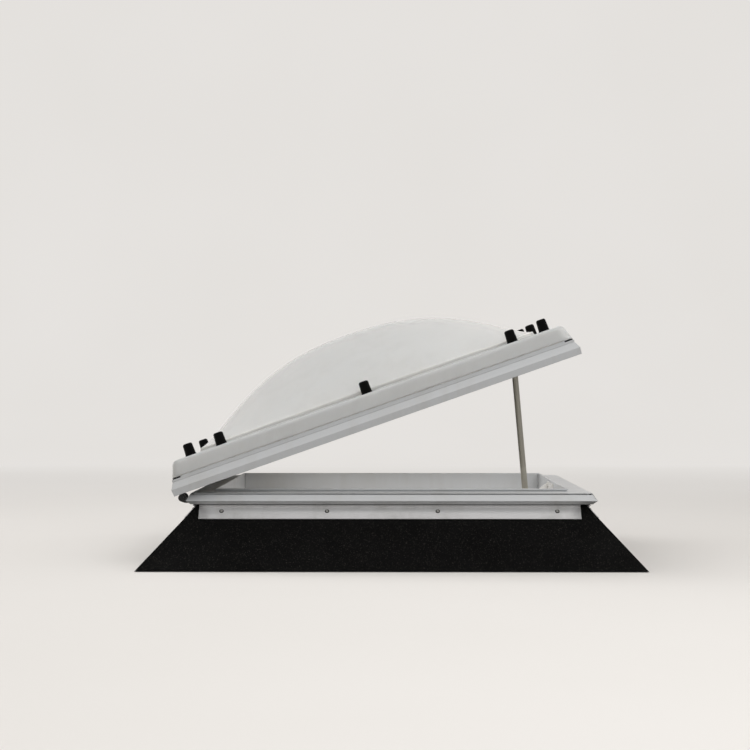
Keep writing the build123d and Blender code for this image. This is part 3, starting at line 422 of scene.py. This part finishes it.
def turned(profile, columns=40):
    """A surface of revolution as a grid: each radius and height of the profile carried round a circle."""
    angle = np.arange(columns) * 2 * math.pi / columns
    profile = np.asarray(profile, float)
    radius, height = profile[:, 0, None], profile[:, 1, None]
    return np.stack(np.broadcast_arrays(radius * np.cos(angle), radius * np.sin(angle), height), -1)


def screw_head(radius, height, rows=20, columns=40):
    """A domed head with a cross slot: height x (1 - r^3.2)^0.6, less the slot where |x| or |y| is small.
    The slot's half width, reach and soft edges are shares of the radius, its depth one of the height."""
    r = np.concatenate([np.linspace(0.04, 0.9, rows), [0.95, 0.98, 1.0, 1.0, 0.9]]) * radius
    grid = turned(np.stack([r, r * 0], -1), columns)
    x, y = np.abs(grid[..., 0]), np.abs(grid[..., 1])
    crown = height * np.clip(1 - (np.hypot(x, y) / radius) ** 3.2, 0, 1) ** 0.6
    slot = smooth_step((SLOT_HALF * radius - np.minimum(x, y)) / (SLOT_SIDE * radius) + 0.5)
    slot = slot * smooth_step((SLOT_REACH * radius - np.hypot(x, y)) / (SLOT_END * radius) + 0.5)
    grid[..., 2] = crown - slot * height * SLOT_DEPTH
    grid[-2:, :, 2] = -height * HEAD_UNDER
    return grid


def set_out(name, grid, origins, axes):
    """Copies of a turned grid, each at its origin on its own three axes, with both ends closed."""
    rows, columns = grid.shape[:2]
    flat = grid.reshape(-1, 3)
    placed = np.einsum("pk,nkc->npc", flat, np.asarray(axes)) + np.asarray(origins)[:, None]
    step = np.arange(len(placed))[:, None, None] * len(flat)
    walls = (grid_faces(rows, columns, joined_columns=True)[None] + step).reshape(-1, 4)
    first = (np.arange(columns)[None, None, ::-1] + step).reshape(-1, columns)
    last = ((rows - 1) * columns + np.arange(columns)[None, None, :] + step).reshape(-1, columns)
    return new_piece(name, placed, [walls, first, last])


def slope_spots(off):
    """Origins and axes of the clamp bar screws, at a height off the felt."""
    origins, axes = [], []
    for side in SIDES:
        for along in BAR_SCREWS:
            middle = BAR_DROP + SCREW_DROP
            spot, beside, below, above = (
                on_slope(side, np.array(along + a), np.array(middle + d), np.array(off + o))
                for a, d, o in ((0, 0, 0), (1, 0, 0), (0, 1, 0), (0, 0, 1))
            )
            origins.append(spot)
            axes.append([beside - spot, below - spot, above - spot])
    return origins, axes


steel, tree, shader = new_material("stainless_steel", Metallic=1.0)
place = node(tree, "TexCoord").outputs["Object"]
turning = node(tree, "TexNoise", Vector=place, Scale=700.0, Detail=3.0)
turned_shade = mix(tree, turning.outputs[0], paint("#a9a8a5"), paint("#c6c5c2"))
tree.links.new(turned_shade, shader.inputs["Base Color"])
tree.links.new(spread(tree, turning.outputs[0], 0.3, 0.7, 0.24, 0.42), shader.inputs["Roughness"])
rubber = plastic("black_rubber", "#161617", "#2b2a29", 0.7, 0.6, 1100.0, 0.2)
heads = set_out("clamp_screws", screw_head(HEAD_RADIUS, HEAD_HEIGHT),
                *slope_spots(BAR_SHEET + WASHER_SHEET + HEAD_SEAT))
heads.data.materials.append(steel)
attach(heads, "base")
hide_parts("clamp_bar_screws")
washer_profile = [(WASHER_BORE, 0), (WASHER_RADIUS, 0), (WASHER_RADIUS, 0.6 * WASHER_SHEET),
                  (WASHER_RADIUS - WASHER_CHAMFER, WASHER_SHEET), (WASHER_BORE, WASHER_SHEET)]
washers = set_out("clamp_washers", turned(washer_profile), *slope_spots(BAR_SHEET))
washers.data.materials.append(rubber)
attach(washers, "base")

# Kerb: a white hollow PVC profile, mitred and welded at the corners and screwed to the upstand through its
# inner leg. A rib runs round the opening, and outside it the seat of the lid's seal ends in a drip nose.
PROFILE_EASE = 0.0006
kerb_low, kerb_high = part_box("kerb_right")
TOP_LOWERED = 0.003
KERB_TOP = kerb_high.z - TOP_LOWERED
KERB_WIDTH, LEDGE, LEG, TOP_CHAMFER, EDGE_CHAMFER = 0.055, 0.005, 0.004, 0.0015, 0.001
RIB_RISE, RIB_ACROSS, SEAT_FALL = 0.0065, 0.005, 0.0022
GROOVE_HIGH, GROOVE_DEPTH, LINE_HIGH, LINE_DEPTH = 0.0024, 0.003, 0.0034, 0.006
NOSE_OUT, NOSE_FACE, NOSE_DROP, NOSE_IN, NOSE_ROOT = 0.019, 0.0195, 0.0285, 0.0115, 0.008
SEAT_BACK, LINE_SILL, NOSE_LAND, FELT_BOND = 0.012, 0.0015, 0.002, 0.0002
seat = KERB_TOP - RIB_RISE
kerb_edge = seat - SEAT_FALL
nose_tip, nose_foot = KERB_WIDTH + NOSE_OUT, kerb_edge - NOSE_DROP
seat_edge, line_root = nose_tip - SEAT_BACK, nose_tip - SEAT_BACK - LINE_DEPTH
line_top = kerb_edge - EDGE_CHAMFER
line_foot = line_top - LINE_HIGH
upstand_top = felt_high.z + FELT_BOND
kerb_outline = [
    (LEG, kerb_low.z), (0, kerb_low.z), (0, KERB_TOP - TOP_CHAMFER), (TOP_CHAMFER, KERB_TOP),
    (RIB_ACROSS - EDGE_CHAMFER, KERB_TOP), (RIB_ACROSS, KERB_TOP - EDGE_CHAMFER),
    (RIB_ACROSS, seat + GROOVE_HIGH), (RIB_ACROSS - GROOVE_DEPTH, seat + GROOVE_HIGH),
    (RIB_ACROSS - GROOVE_DEPTH, seat), (seat_edge - EDGE_CHAMFER, kerb_edge), (seat_edge, line_top),
    (line_root, line_top), (line_root, line_foot), (seat_edge + LINE_SILL, line_foot),
    (nose_tip, kerb_edge - NOSE_FACE), (nose_tip - NOSE_IN, nose_foot),
    (nose_tip - NOSE_IN - NOSE_LAND, nose_foot), (KERB_WIDTH, kerb_edge - NOSE_ROOT),
    (KERB_WIDTH - LEDGE, kerb_edge - NOSE_ROOT), (KERB_WIDTH - LEDGE, upstand_top), (LEG, upstand_top),
]
WELD_DEPTH, WELD_HALF = 0.0006, 0.001
from_mitre = np.array([0, WELD_HALF / 2, WELD_HALF, 0.0016, 0.004, 0.008, 0.012, 0.016, 0.02,
                       0.02395, 0.02405, 0.028, 0.032])


def mitred_bar(outline):
    """A side's outline carried between its two mitres, at along = +-(half + out - e), where e is the
    distance from the mitre. By the mitre it is drawn in along its own normals, as the cleaned weld bead
    leaves a fine groove: by the weld's depth x the root of (1 - e / the weld's half width). Gives along,
    out, up and e."""
    tangent = np.roll(outline, -1, 0) - np.roll(outline, 1, 0)
    area = np.sum(outline[:, 0] * np.roll(outline[:, 1], -1) - np.roll(outline[:, 0], -1) * outline[:, 1])
    normal = np.stack([tangent[:, 1], -tangent[:, 0]], -1) * np.sign(area)
    normal /= np.linalg.norm(normal, axis=1, keepdims=True)
    e = from_mitre[:, None]
    middle = np.linspace(-1, 1, 24)[1:-1, None]
    start = -(half_opening + outline[None, :, 0] - e)
    along = np.concatenate([start, -middle * start[-1], -start[::-1]])
    e = np.concatenate([e, 0 * middle + 1, e[::-1]])
    dips = WELD_DEPTH * np.clip(1 - e / WELD_HALF, 0, 1) ** 0.5
    out = outline[None, :, 0] - dips * normal[None, :, 0]
    up = outline[None, :, 1] - dips * normal[None, :, 1]
    return along, out + 0 * along, up + 0 * along, e + 0 * along


profile_white = plastic("white_profile", "#c6c8ca", "#b4b2ad", 0.3, 0.32, 500.0, 0.05)
kerb_section = eased(kerb_outline, PROFILE_EASE)
for side in SIDES:
    along, out, up, e = mitred_bar(kerb_section)
    kerb = bar_mesh(f"kerb_bar_{side}", in_plan(side, along, out, up))
    kerb.data.materials.append(profile_white)
    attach(kerb, "base")
    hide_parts(f"kerb_{side}")
finish_node("kerb_screws", steel)

# Hinges: two of black coated steel, each with a leaf bolted under the kerb's nose and one inside the lid's
# lip, on a turned pin. The fixed leaves and the pins stay with the kerb, the others turn with the lid.
coated = plastic("black_coating", "#131314", "#2a2927", 0.6, 0.38, 900.0, 0.15)
for place in ("front", "back"):
    finish_node(f"hinge_leaf_kerb_{place}", coated)
    finish_node(f"hinge_leaf_lid_{place}", coated)
finish_node("hinge_pins", coated)
finish_node("hinge_screws_kerb", steel)
finish_node("hinge_screws_lid", steel)

# Lid frame: a white hollow PVC profile, mitred and welded, with a lip that splays over the kerb in two
# facets. A ridge stands behind the dome's skirt, over a shelf cut away at the corners for rubber pads.
hinge = next(joint for joint in frame["joints"] if joint["name"] == "lid_hinge")
OPEN_ANGLE = math.radians(-hinge["range_deg"][0])
SEAL_GAP, LID_HEIGHT = 0.009, 0.045
LID_BASE = KERB_TOP + SEAL_GAP
LID_INSET, BODY_FACE, RIDGE_EDGE, RIDGE_HEIGHT, SHELF_EDGE = 0.006, 0.073, 0.081, 0.028, 0.090
LIP_FACE, LIP_WALL, LIP_DRAWN, CEILING_BACK, BEND_INSIDE = 0.098, 0.0035, 0.0015, 0.0135, 0.0008
LIP_BOTTOM = LID_BASE - 0.022
LIP_BEND = LIP_BOTTOM + 0.0172
LIP_TOP, LIP_CEILING = LID_BASE + 0.0126, LID_BASE + 0.0155
SLOT_FLOOR, SHELF_TOP = LID_BASE + 0.0188, LID_BASE + 0.0226
SLOT_LENGTH, SLOT_RAMP, RIDGE_ROUND, SHELF_GROOVE = 0.024, 0.008, 0.028, 0.001
PRESSED_FLAT, HAIR = 0.002, 0.0001


def in_lid(points):
    """Points of the shut lid, turned about the hinge axis to where the lid stands open:
    x' = x cos a - z sin a and z' = x sin a + z cos a, measured from the axis."""
    offset = np.asarray(points, float) - hinge["pos_m"]
    x, y, z = np.moveaxis(offset, -1, 0)
    c, s = math.cos(OPEN_ANGLE), math.sin(OPEN_ANGLE)
    return np.stack([x * c - z * s, y, x * s + z * c], -1) + hinge["pos_m"]


def rounded_corners(along, out, up, e):
    """The bar with the shelf cut off near its mitres, where e is under the slot's length, down to the
    slot's floor. All that stands above the floor there is drawn to an arc: a point past the arc's centre
    goes to its radius. What is cut off is pressed flat against the ridge and the floor."""
    spread_out = (SHELF_EDGE - out) * np.clip((out - BODY_FACE) / (RIDGE_EDGE - BODY_FACE), 0, 1)
    squared = smooth_step((e - SLOT_RAMP) / SLOT_RAMP)
    along = along + np.sign(along) * np.where(up > LIP_TOP, spread_out * squared, 0)
    high = up > SLOT_FLOOR + HAIR / 10
    cut = high & (e < SLOT_LENGTH)
    gone = cut & (out > RIDGE_EDGE)
    out = np.where(gone, RIDGE_EDGE + (out - RIDGE_EDGE) * PRESSED_FLAT, out)
    up = np.where(gone, SLOT_FLOOR + (up - SLOT_FLOOR) * PRESSED_FLAT, up)
    centre = half_opening + np.minimum(out, RIDGE_EDGE) - RIDGE_ROUND
    past_out, past_along = half_opening + out - centre, np.abs(along) - centre
    drawn = (past_along > 0) & (cut | (high & (out < BODY_FACE + HAIR)))
    scale = np.where(drawn, RIDGE_ROUND / np.hypot(past_out, past_along), 1.0)
    return (np.where(drawn, np.sign(along) * (centre + past_along * scale), along),
            np.where(drawn, centre + past_out * scale - half_opening, out), up)


lid_outline = [
    (LID_INSET, LID_BASE), (LID_INSET, LID_BASE + LID_HEIGHT), (BODY_FACE, LID_BASE + LID_HEIGHT),
    (BODY_FACE, LID_BASE + RIDGE_HEIGHT), (RIDGE_EDGE, LID_BASE + RIDGE_HEIGHT), (RIDGE_EDGE, SHELF_TOP),
    (SHELF_EDGE, SHELF_TOP), (SHELF_EDGE, SLOT_FLOOR), (SHELF_EDGE, LIP_TOP + SHELF_GROOVE),
    (SHELF_EDGE - SHELF_GROOVE, LIP_TOP), (SHELF_EDGE, LIP_TOP - SHELF_GROOVE),
    (LIP_FACE, LIP_BEND), (LIP_FACE - LIP_DRAWN, LIP_BOTTOM), (LIP_FACE - LIP_DRAWN - LIP_WALL, LIP_BOTTOM),
    (LIP_FACE - LIP_WALL, LIP_BEND - BEND_INSIDE), (LIP_FACE - CEILING_BACK, LIP_CEILING),
    (BODY_FACE, LIP_CEILING), (BODY_FACE, LID_BASE),
]
lid_section = eased(lid_outline, PROFILE_EASE)
for side in SIDES:
    bar = bar_mesh(f"lid_bar_{side}", in_lid(in_plan(side, *rounded_corners(*mitred_bar(lid_section)))))
    bar.data.materials.append(profile_white)
    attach(bar, "lid")
    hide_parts(f"lid_frame_{side}")

# Seal of the lid: one bulb of black rubber on a base strip, mitred and welded into a ring under the frame.
# When the lid shuts it comes down on the kerb's seat, outside the rib.
SEAL_OUT, SEAL_WIDTH, SEAL_CLEAR, SEAL_BOND = 0.012, 0.010, 0.0004, 0.0001
STRIP_SHEET, NECK, BULB_INSET, BULB_ROUND, BULB_SAG = 0.0015, 0.0025, 0.001, 0.003, 0.0006
bulb_low, bulb_high = seat + SEAL_CLEAR, LID_BASE - SEAL_BOND
strip_in, strip_out = SEAL_OUT - SEAL_WIDTH / 2, SEAL_OUT + SEAL_WIDTH / 2
bulb_in, bulb_out = strip_in + BULB_INSET, strip_out - BULB_INSET
bulb_outline = [
    (strip_in, bulb_high), (strip_out, bulb_high), (strip_out, bulb_high - STRIP_SHEET),
    (bulb_out, bulb_high - NECK), (bulb_out, bulb_low + BULB_ROUND), (SEAL_OUT, bulb_low - BULB_SAG),
    (bulb_in, bulb_low + BULB_ROUND), (bulb_in, bulb_high - NECK), (strip_in, bulb_high - STRIP_SHEET),
]
bulb_section = eased(bulb_outline, BULB_ROUND, 6)
corner = np.array([-1.0, 1.0])[:, None]
for side in SIDES:
    out, up = bulb_section[None, :, 0], bulb_section[None, :, 1]
    stations = in_plan(side, corner * (half_opening + out), out + 0 * corner, up)
    strip = bar_mesh(f"seal_{side}", in_lid(stations))
    strip.data.materials.append(rubber)
    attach(strip, "lid")
    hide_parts("lid_seal")
for name in ("dome_gasket", "dome_spacer"):
    finish_node(name, rubber)

# Domes: two sheets of opal acrylic blown into one frame, the outer one with a drawn skirt, the inner one
# flatter. Both stand on an upright foot and rest on the frame by their flanges, with rubber between them.
POWER, SINK, LAP = 2.35, 0.002, 0.003
DOME_EDGE, DOME_CORNER = 0.010, 0.060
OUTER_RISE, OUTER_KICK, INNER_RISE, INNER_KICK = 0.176, 0.010, 0.128, 0.004
GASKET, BOND, INNER_SHEET, SPACER, OUTER_SHEET = 0.003, 0.0001, 0.003, 0.0085, 0.0035
INNER_FLANGE = LID_BASE + LID_HEIGHT + GASKET + 2 * BOND
OUTER_FLANGE = INNER_FLANGE + INNER_SHEET + SPACER + 2 * BOND
FLANGE_TOP = OUTER_FLANGE + OUTER_SHEET
SKIRT_EDGE, SKIRT_DEPTH, SKIRT_SPLAY, CORNER_ROUND, CORNER_GROW = 0.0765, 0.0406, 0.0135, 0.024, 0.004
FLANGE_BEND, SKIRT_BEND = 0.014, 0.004


def square_loops(half, rounding, straight=44, bend=15):
    """Closed loops round a square with rounded corners, one for each half width and rounding:
    a point is (half - rounding) x its place on the unit square + rounding x its outward direction."""
    run = np.linspace(-1, 1, straight)
    run = np.sin(run * math.pi / 2) * 0.4 + run * 0.6
    angle = np.linspace(0, math.pi / 2, bend + 2)[1:-1]
    anchor_y, angle = np.concatenate([run, np.ones(bend)]), np.concatenate([0 * run, angle])
    anchor_x = np.ones(straight + bend)
    normal_x, normal_y = np.cos(angle), np.sin(angle)
    anchors, normals = [], []
    for c, s in ((1, 0), (0, 1), (-1, 0), (0, -1)):
        anchors.append(np.stack([anchor_x * c - anchor_y * s, anchor_x * s + anchor_y * c], -1))
        normals.append(np.stack([normal_x * c - normal_y * s, normal_x * s + normal_y * c], -1))
    half, rounding = np.asarray(half)[:, None, None], np.asarray(rounding)[:, None, None]
    return (half - rounding) * np.concatenate(anchors)[None] + rounding * np.concatenate(normals)[None]


def ring_rows(edges, levels, roundings):
    """Loops of a flange, skirt or rim, one for each edge, level and rounding."""
    plan = square_loops(half_opening + np.asarray(edges), np.asarray(roundings))
    up = np.broadcast_to(np.asarray(levels)[:, None, None], plan.shape[:2] + (1,))
    return np.concatenate([plan, up], -1)


def blown_rows(edge, rounding, level, rise, kick, shoulder, foot, count=64):
    """Loops of a blown sheet, from its middle to its foot on the flange. The blown part stands at
    kick + (rise - kick + sink) (1 - |x/w|^p) (1 - |y/w|^p) - sink, turns over a shoulder, by a quadratic
    curve, into the upright foot, and runs out on the flange by a quarter circle."""
    def blown(plan):
        share = 1 - np.abs(plan / (half_opening + edge + LAP)) ** POWER
        height = kick + (rise - kick + SINK) * share[..., :1] * share[..., 1:] - SINK
        return np.concatenate([plan, level + height], -1)
    scale = 1 - (1 - np.linspace(0.012, 1, count)) ** 1.25
    inwards = np.array([shoulder, 0])
    start, wall = square_loops(half_opening + edge - inwards, rounding - inwards)
    sheet = blown(scale[:, None, None] * start[None])
    corner, lower = blown(wall), blown(wall) - [0, 0, shoulder]
    t = np.linspace(0, 1, 7)[1:, None, None]
    turn = (1 - t) ** 2 * sheet[-1] + 2 * t * (1 - t) * corner + t ** 2 * lower
    angle = np.linspace(0, math.pi / 2, 6)
    out = foot * (1 - np.cos(angle))
    run_out = ring_rows(edge + out, level + foot * (1 - np.sin(angle)), rounding + out)
    return np.concatenate([sheet, turn, run_out])


def shell_piece(name, rows):
    """A closed shell from loops that start and end round its middle, each end closed with one flat face."""
    count, columns = rows.shape[:2]
    ends = [np.arange(columns)[None, ::-1], (count - 1) * columns + np.arange(columns)[None, :]]
    return new_piece(name, in_lid(rows), [grid_faces(count, columns, joined_columns=True), *ends])


def skirt_rows(edge, level, bend, rounding, inner):
    """The outer sheet's flange and skirt, from beside the dome's foot, given as an edge and a rounding, to
    the skirt's bottom: level, then an arc that touches both, then straight down the splay."""
    splay = math.atan(SKIRT_SPLAY / SKIRT_DEPTH)
    angle = np.linspace(0, math.pi / 2 - splay, 10)
    arc_start = edge - bend * math.tan((math.pi / 2 - splay) / 2)
    t = np.linspace(0, 1, 7)[1:-1]
    flat = inner[0] + (arc_start - inner[0]) * t
    arc_out, arc_up = arc_start + bend * np.sin(angle), level - bend + bend * np.cos(angle)
    bottom = FLANGE_TOP - SKIRT_DEPTH
    t = np.linspace(0, 1, 12)[1:]
    fall_up = arc_up[-1] + (bottom - arc_up[-1]) * t
    fall_out = arc_out[-1] + (arc_up[-1] - fall_up) * math.tan(splay)
    out, up = np.concatenate([flat, arc_out, fall_out]), np.concatenate([flat * 0 + level, arc_up, fall_up])
    outside = rounding + np.where(out < edge, out - edge, (out - edge) / SKIRT_SPLAY * CORNER_GROW)
    beside = inner[1] + (outside[len(flat)] - inner[1]) * (flat - inner[0]) / (arc_start - inner[0])
    return ring_rows(out, up, np.concatenate([beside, outside[len(flat):]]))


SHOULDER, FOOT = 0.002, 0.0055
under_edge, under_corner = DOME_EDGE - OUTER_SHEET, DOME_CORNER - OUTER_SHEET
outer_rows = np.concatenate([
    blown_rows(DOME_EDGE, DOME_CORNER, FLANGE_TOP, OUTER_RISE, OUTER_KICK, SHOULDER, FOOT),
    skirt_rows(SKIRT_EDGE, FLANGE_TOP, FLANGE_BEND, CORNER_ROUND, (DOME_EDGE + FOOT, DOME_CORNER + FOOT)),
    skirt_rows(SKIRT_EDGE - OUTER_SHEET, OUTER_FLANGE, SKIRT_BEND, CORNER_ROUND - OUTER_SHEET,
               (under_edge + FOOT, under_corner + FOOT))[::-1],
    blown_rows(under_edge, under_corner, OUTER_FLANGE, OUTER_RISE, OUTER_KICK, SHOULDER, FOOT)[::-1],
])
outer_dome = shell_piece("opal_dome", outer_rows)
opal, tree, shader = new_material("opal_acrylic", IOR=1.49)
shader.inputs["Subsurface Weight"].default_value = 1.0
shader.inputs["Subsurface Radius"].default_value = (0.03, 0.0285, 0.027)
shader.inputs["Subsurface Scale"].default_value = 1.0
place = node(tree, "TexCoord").outputs["Object"]
mask = effect(tree, soiling, Place=place, Amount=0.3)
tree.links.new(mix(tree, mask, paint("#f6eee3"), paint("#e6ddd0")), shader.inputs["Base Color"])
tree.links.new(spread(tree, mask, 0.0, 1.0, 0.06, 0.2), shader.inputs["Roughness"])
slow = node(tree, "TexNoise", Vector=place, Scale=9.0, Detail=2.0)
waves = node(tree, "Bump", Distance=0.004, Strength=0.12, Height=slow.outputs[0])
tree.links.new(waves.outputs[0], shader.inputs["Normal"])
outer_dome.data.materials.append(opal)
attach(outer_dome, "lid")
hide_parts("outer_dome")

LAYER_EDGE, LAYER_CORNER, RIM_EASE = 0.0665, 0.0205, 0.0004
INNER_SHOULDER, INNER_FOOT = 0.002, 0.0015
upper = blown_rows(DOME_EDGE, DOME_CORNER, INNER_FLANGE + INNER_SHEET, INNER_RISE, INNER_KICK,
                   INNER_SHOULDER, INNER_FOOT)
rim_levels = INNER_FLANGE + np.array([INNER_SHEET, INNER_SHEET - RIM_EASE, RIM_EASE, 0.0])
rim_edges = [LAYER_EDGE - RIM_EASE, LAYER_EDGE, LAYER_EDGE, LAYER_EDGE - RIM_EASE]
rim = ring_rows(rim_edges, rim_levels, [LAYER_CORNER] * 4)
lower = blown_rows(DOME_EDGE - INNER_SHEET, DOME_CORNER - INNER_SHEET, INNER_FLANGE, INNER_RISE, INNER_KICK,
                   INNER_SHOULDER, INNER_FOOT)
inner_dome = shell_piece("milky_dome", np.concatenate([upper, rim, lower[::-1]]))
inner_dome.data.materials.append(opal)
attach(inner_dome, "lid")
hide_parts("inner_dome")

# Corner pads: wedges of black rubber that fill the slots under the skirt's corners, where the shelf is cut
# away. They follow the skirt's rounding outside and the ridge's inside.
PAD_SETBACK, PAD_CLEAR = 0.0005, 0.0001
pad_out, pad_in = SKIRT_EDGE + SKIRT_SPLAY - PAD_SETBACK, RIDGE_EDGE + PAD_CLEAR
pad_end = SHELF_EDGE - SLOT_LENGTH + PAD_CLEAR
pad_low, pad_high = SLOT_FLOOR + PAD_CLEAR, FLANGE_TOP - SKIRT_DEPTH - PAD_CLEAR


def pad_edge(out, rounding, count=24):
    """Points along a quarter of a rounded square, from the pad's one end to its other: straight to the
    arc's start, round the arc by centre + r (sin a, cos a), and straight on."""
    centre = half_opening + out - rounding
    angle = np.linspace(0, math.pi / 2, count)
    arc = np.stack([centre + rounding * np.sin(angle), centre + rounding * np.cos(angle)], -1)
    face, end = half_opening + out, half_opening + pad_end
    return np.concatenate([[[end, face]], arc[(arc > end).all(axis=1)], [[face, end]]])


outer_edge = pad_edge(pad_out, CORNER_ROUND + CORNER_GROW - PAD_SETBACK)
inner_edge = pad_edge(pad_in, RIDGE_ROUND + PAD_CLEAR)
steps = np.linspace(0, 1, 24)


def evenly(points):
    """The same line cut into even shares of its length."""
    length = np.concatenate([[0], np.cumsum(np.linalg.norm(np.diff(points, axis=0), axis=1))])
    return np.stack([np.interp(steps * length[-1], length, points[:, k]) for k in (0, 1)], -1)


outer_edge, inner_edge = evenly(outer_edge), evenly(inner_edge)
pad_corners = ((inner_edge, pad_low), (outer_edge, pad_low), (outer_edge, pad_high), (inner_edge, pad_high))
pad_loops = np.stack([
    np.concatenate([edge, np.full((len(edge), 1), level)], -1) for edge, level in pad_corners
], 1)
PAD_PLACES = {"right_back": (1, 1), "left_back": (-1, 1), "left_front": (-1, -1), "right_front": (1, -1)}
for place, (x, y) in PAD_PLACES.items():
    pad = bar_mesh(f"pad_{place}", in_lid(pad_loops * [x, y, 1]))
    pad.data.materials.append(rubber)
    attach(pad, "lid")
    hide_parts("corner_pads")

# Screws through both flanges, washers and the black caps pressed over them: tapered plugs of polyethylene
# with a small collar. Three stand along each edge of the flange, the outer ones set in from the corners.
CAP_OUT, CAP_PITCH = 0.039, 0.395
CAP_FOOT, CAP_CROWN, CAP_HEIGHT, CROWN_ROUND, CAP_WALL = 0.015, 0.0128, 0.0325, 0.0055, 0.003
COLLAR_EASE, COLLAR_HEIGHT = 0.0004, 0.0012
finish_node("dome_washers", rubber)
finish_node("dome_screws", steel)
cap_line = half_opening + CAP_OUT
cap_spots = [(a * cap_line, b * CAP_PITCH) for a in (-1, 1) for b in (-1, 0, 1)]
cap_spots += [(b * CAP_PITCH, a * cap_line) for a in (-1, 1) for b in (-1, 0, 1)]
bend = np.linspace(0, math.pi / 2, 9)
crown = np.stack([CAP_CROWN - CROWN_ROUND + CROWN_ROUND * np.cos(bend),
                  CAP_HEIGHT - CROWN_ROUND + CROWN_ROUND * np.sin(bend)], -1)
collar = [(CAP_FOOT - CAP_WALL, 0.0), (CAP_FOOT - COLLAR_EASE, 0.0), (CAP_FOOT, COLLAR_EASE),
          (CAP_FOOT, COLLAR_HEIGHT)]
taper = [(CAP_FOOT - 0.0008, 0.0022), (CAP_FOOT - 0.001, 0.003), (CAP_FOOT - 0.0012, 0.006)]
cap_profile = np.concatenate([collar, taper, crown, [(0.004, CAP_HEIGHT), (0.001, CAP_HEIGHT)]])
spots = np.array([(x, y, FLANGE_TOP + BOND) for x, y in cap_spots])
axes = np.array([in_lid(np.eye(3)[k]) - in_lid(np.zeros(3)) for k in range(3)])
cap_black = plastic("cap_polyethylene", "#040404", "#0c0c0c", 0.5, 0.45, 900.0, 0.1)
cap_black.node_tree.nodes["Principled BSDF"].inputs["Specular IOR Level"].default_value = 0.08
caps = set_out("cap_plugs", turned(cap_profile, 48), in_lid(spots), np.broadcast_to(axes, (12, 3, 3)))
caps.data.materials.append(cap_black)
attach(caps, "lid")
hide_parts("screw_caps")

# Opener: an aluminium housing that tilts in a white coated console, a toothed tube that it drives up and
# down in bushes of plastic, and a bracket and pin on the lid.
aluminium, tree, shader = new_material("drawn_aluminium", Metallic=0.85)
place = node(tree, "TexCoord").outputs["Object"]
drawn = node(tree, "Mapping", in0=place, in3=(900.0, 900.0, 14.0))
lines = node(tree, "TexNoise", Vector=drawn.outputs[0], Scale=1.0, Detail=3.0)
tree.links.new(mix(tree, lines.outputs[0], paint("#9b988e"), paint("#b1aea4")), shader.inputs["Base Color"])
tree.links.new(spread(tree, lines.outputs[0], 0.3, 0.7, 0.3, 0.46), shader.inputs["Roughness"])
for name in ("rack_tube", "rack_eye", "drive_housing", "housing_cover"):
    finish_node(name, aluminium)
bush = plastic("bush_plastic", "#2a2b2c", "#3a3a3a", 0.4, 0.45, 800.0, 0.1)
for name in ("guide_bush_top", "guide_bush_bottom", "cable_gland"):
    finish_node(name, bush)
powder = plastic("white_coating", "#e1e0dd", "#c8c6c0", 0.4, 0.36, 700.0, 0.12)
for name in ("wall_console", "lid_bracket"):
    finish_node(name, powder)
for name in ("console_screws", "bracket_screws", "cover_screws", "lid_pin", "pin_clip"):
    finish_node(name, steel)
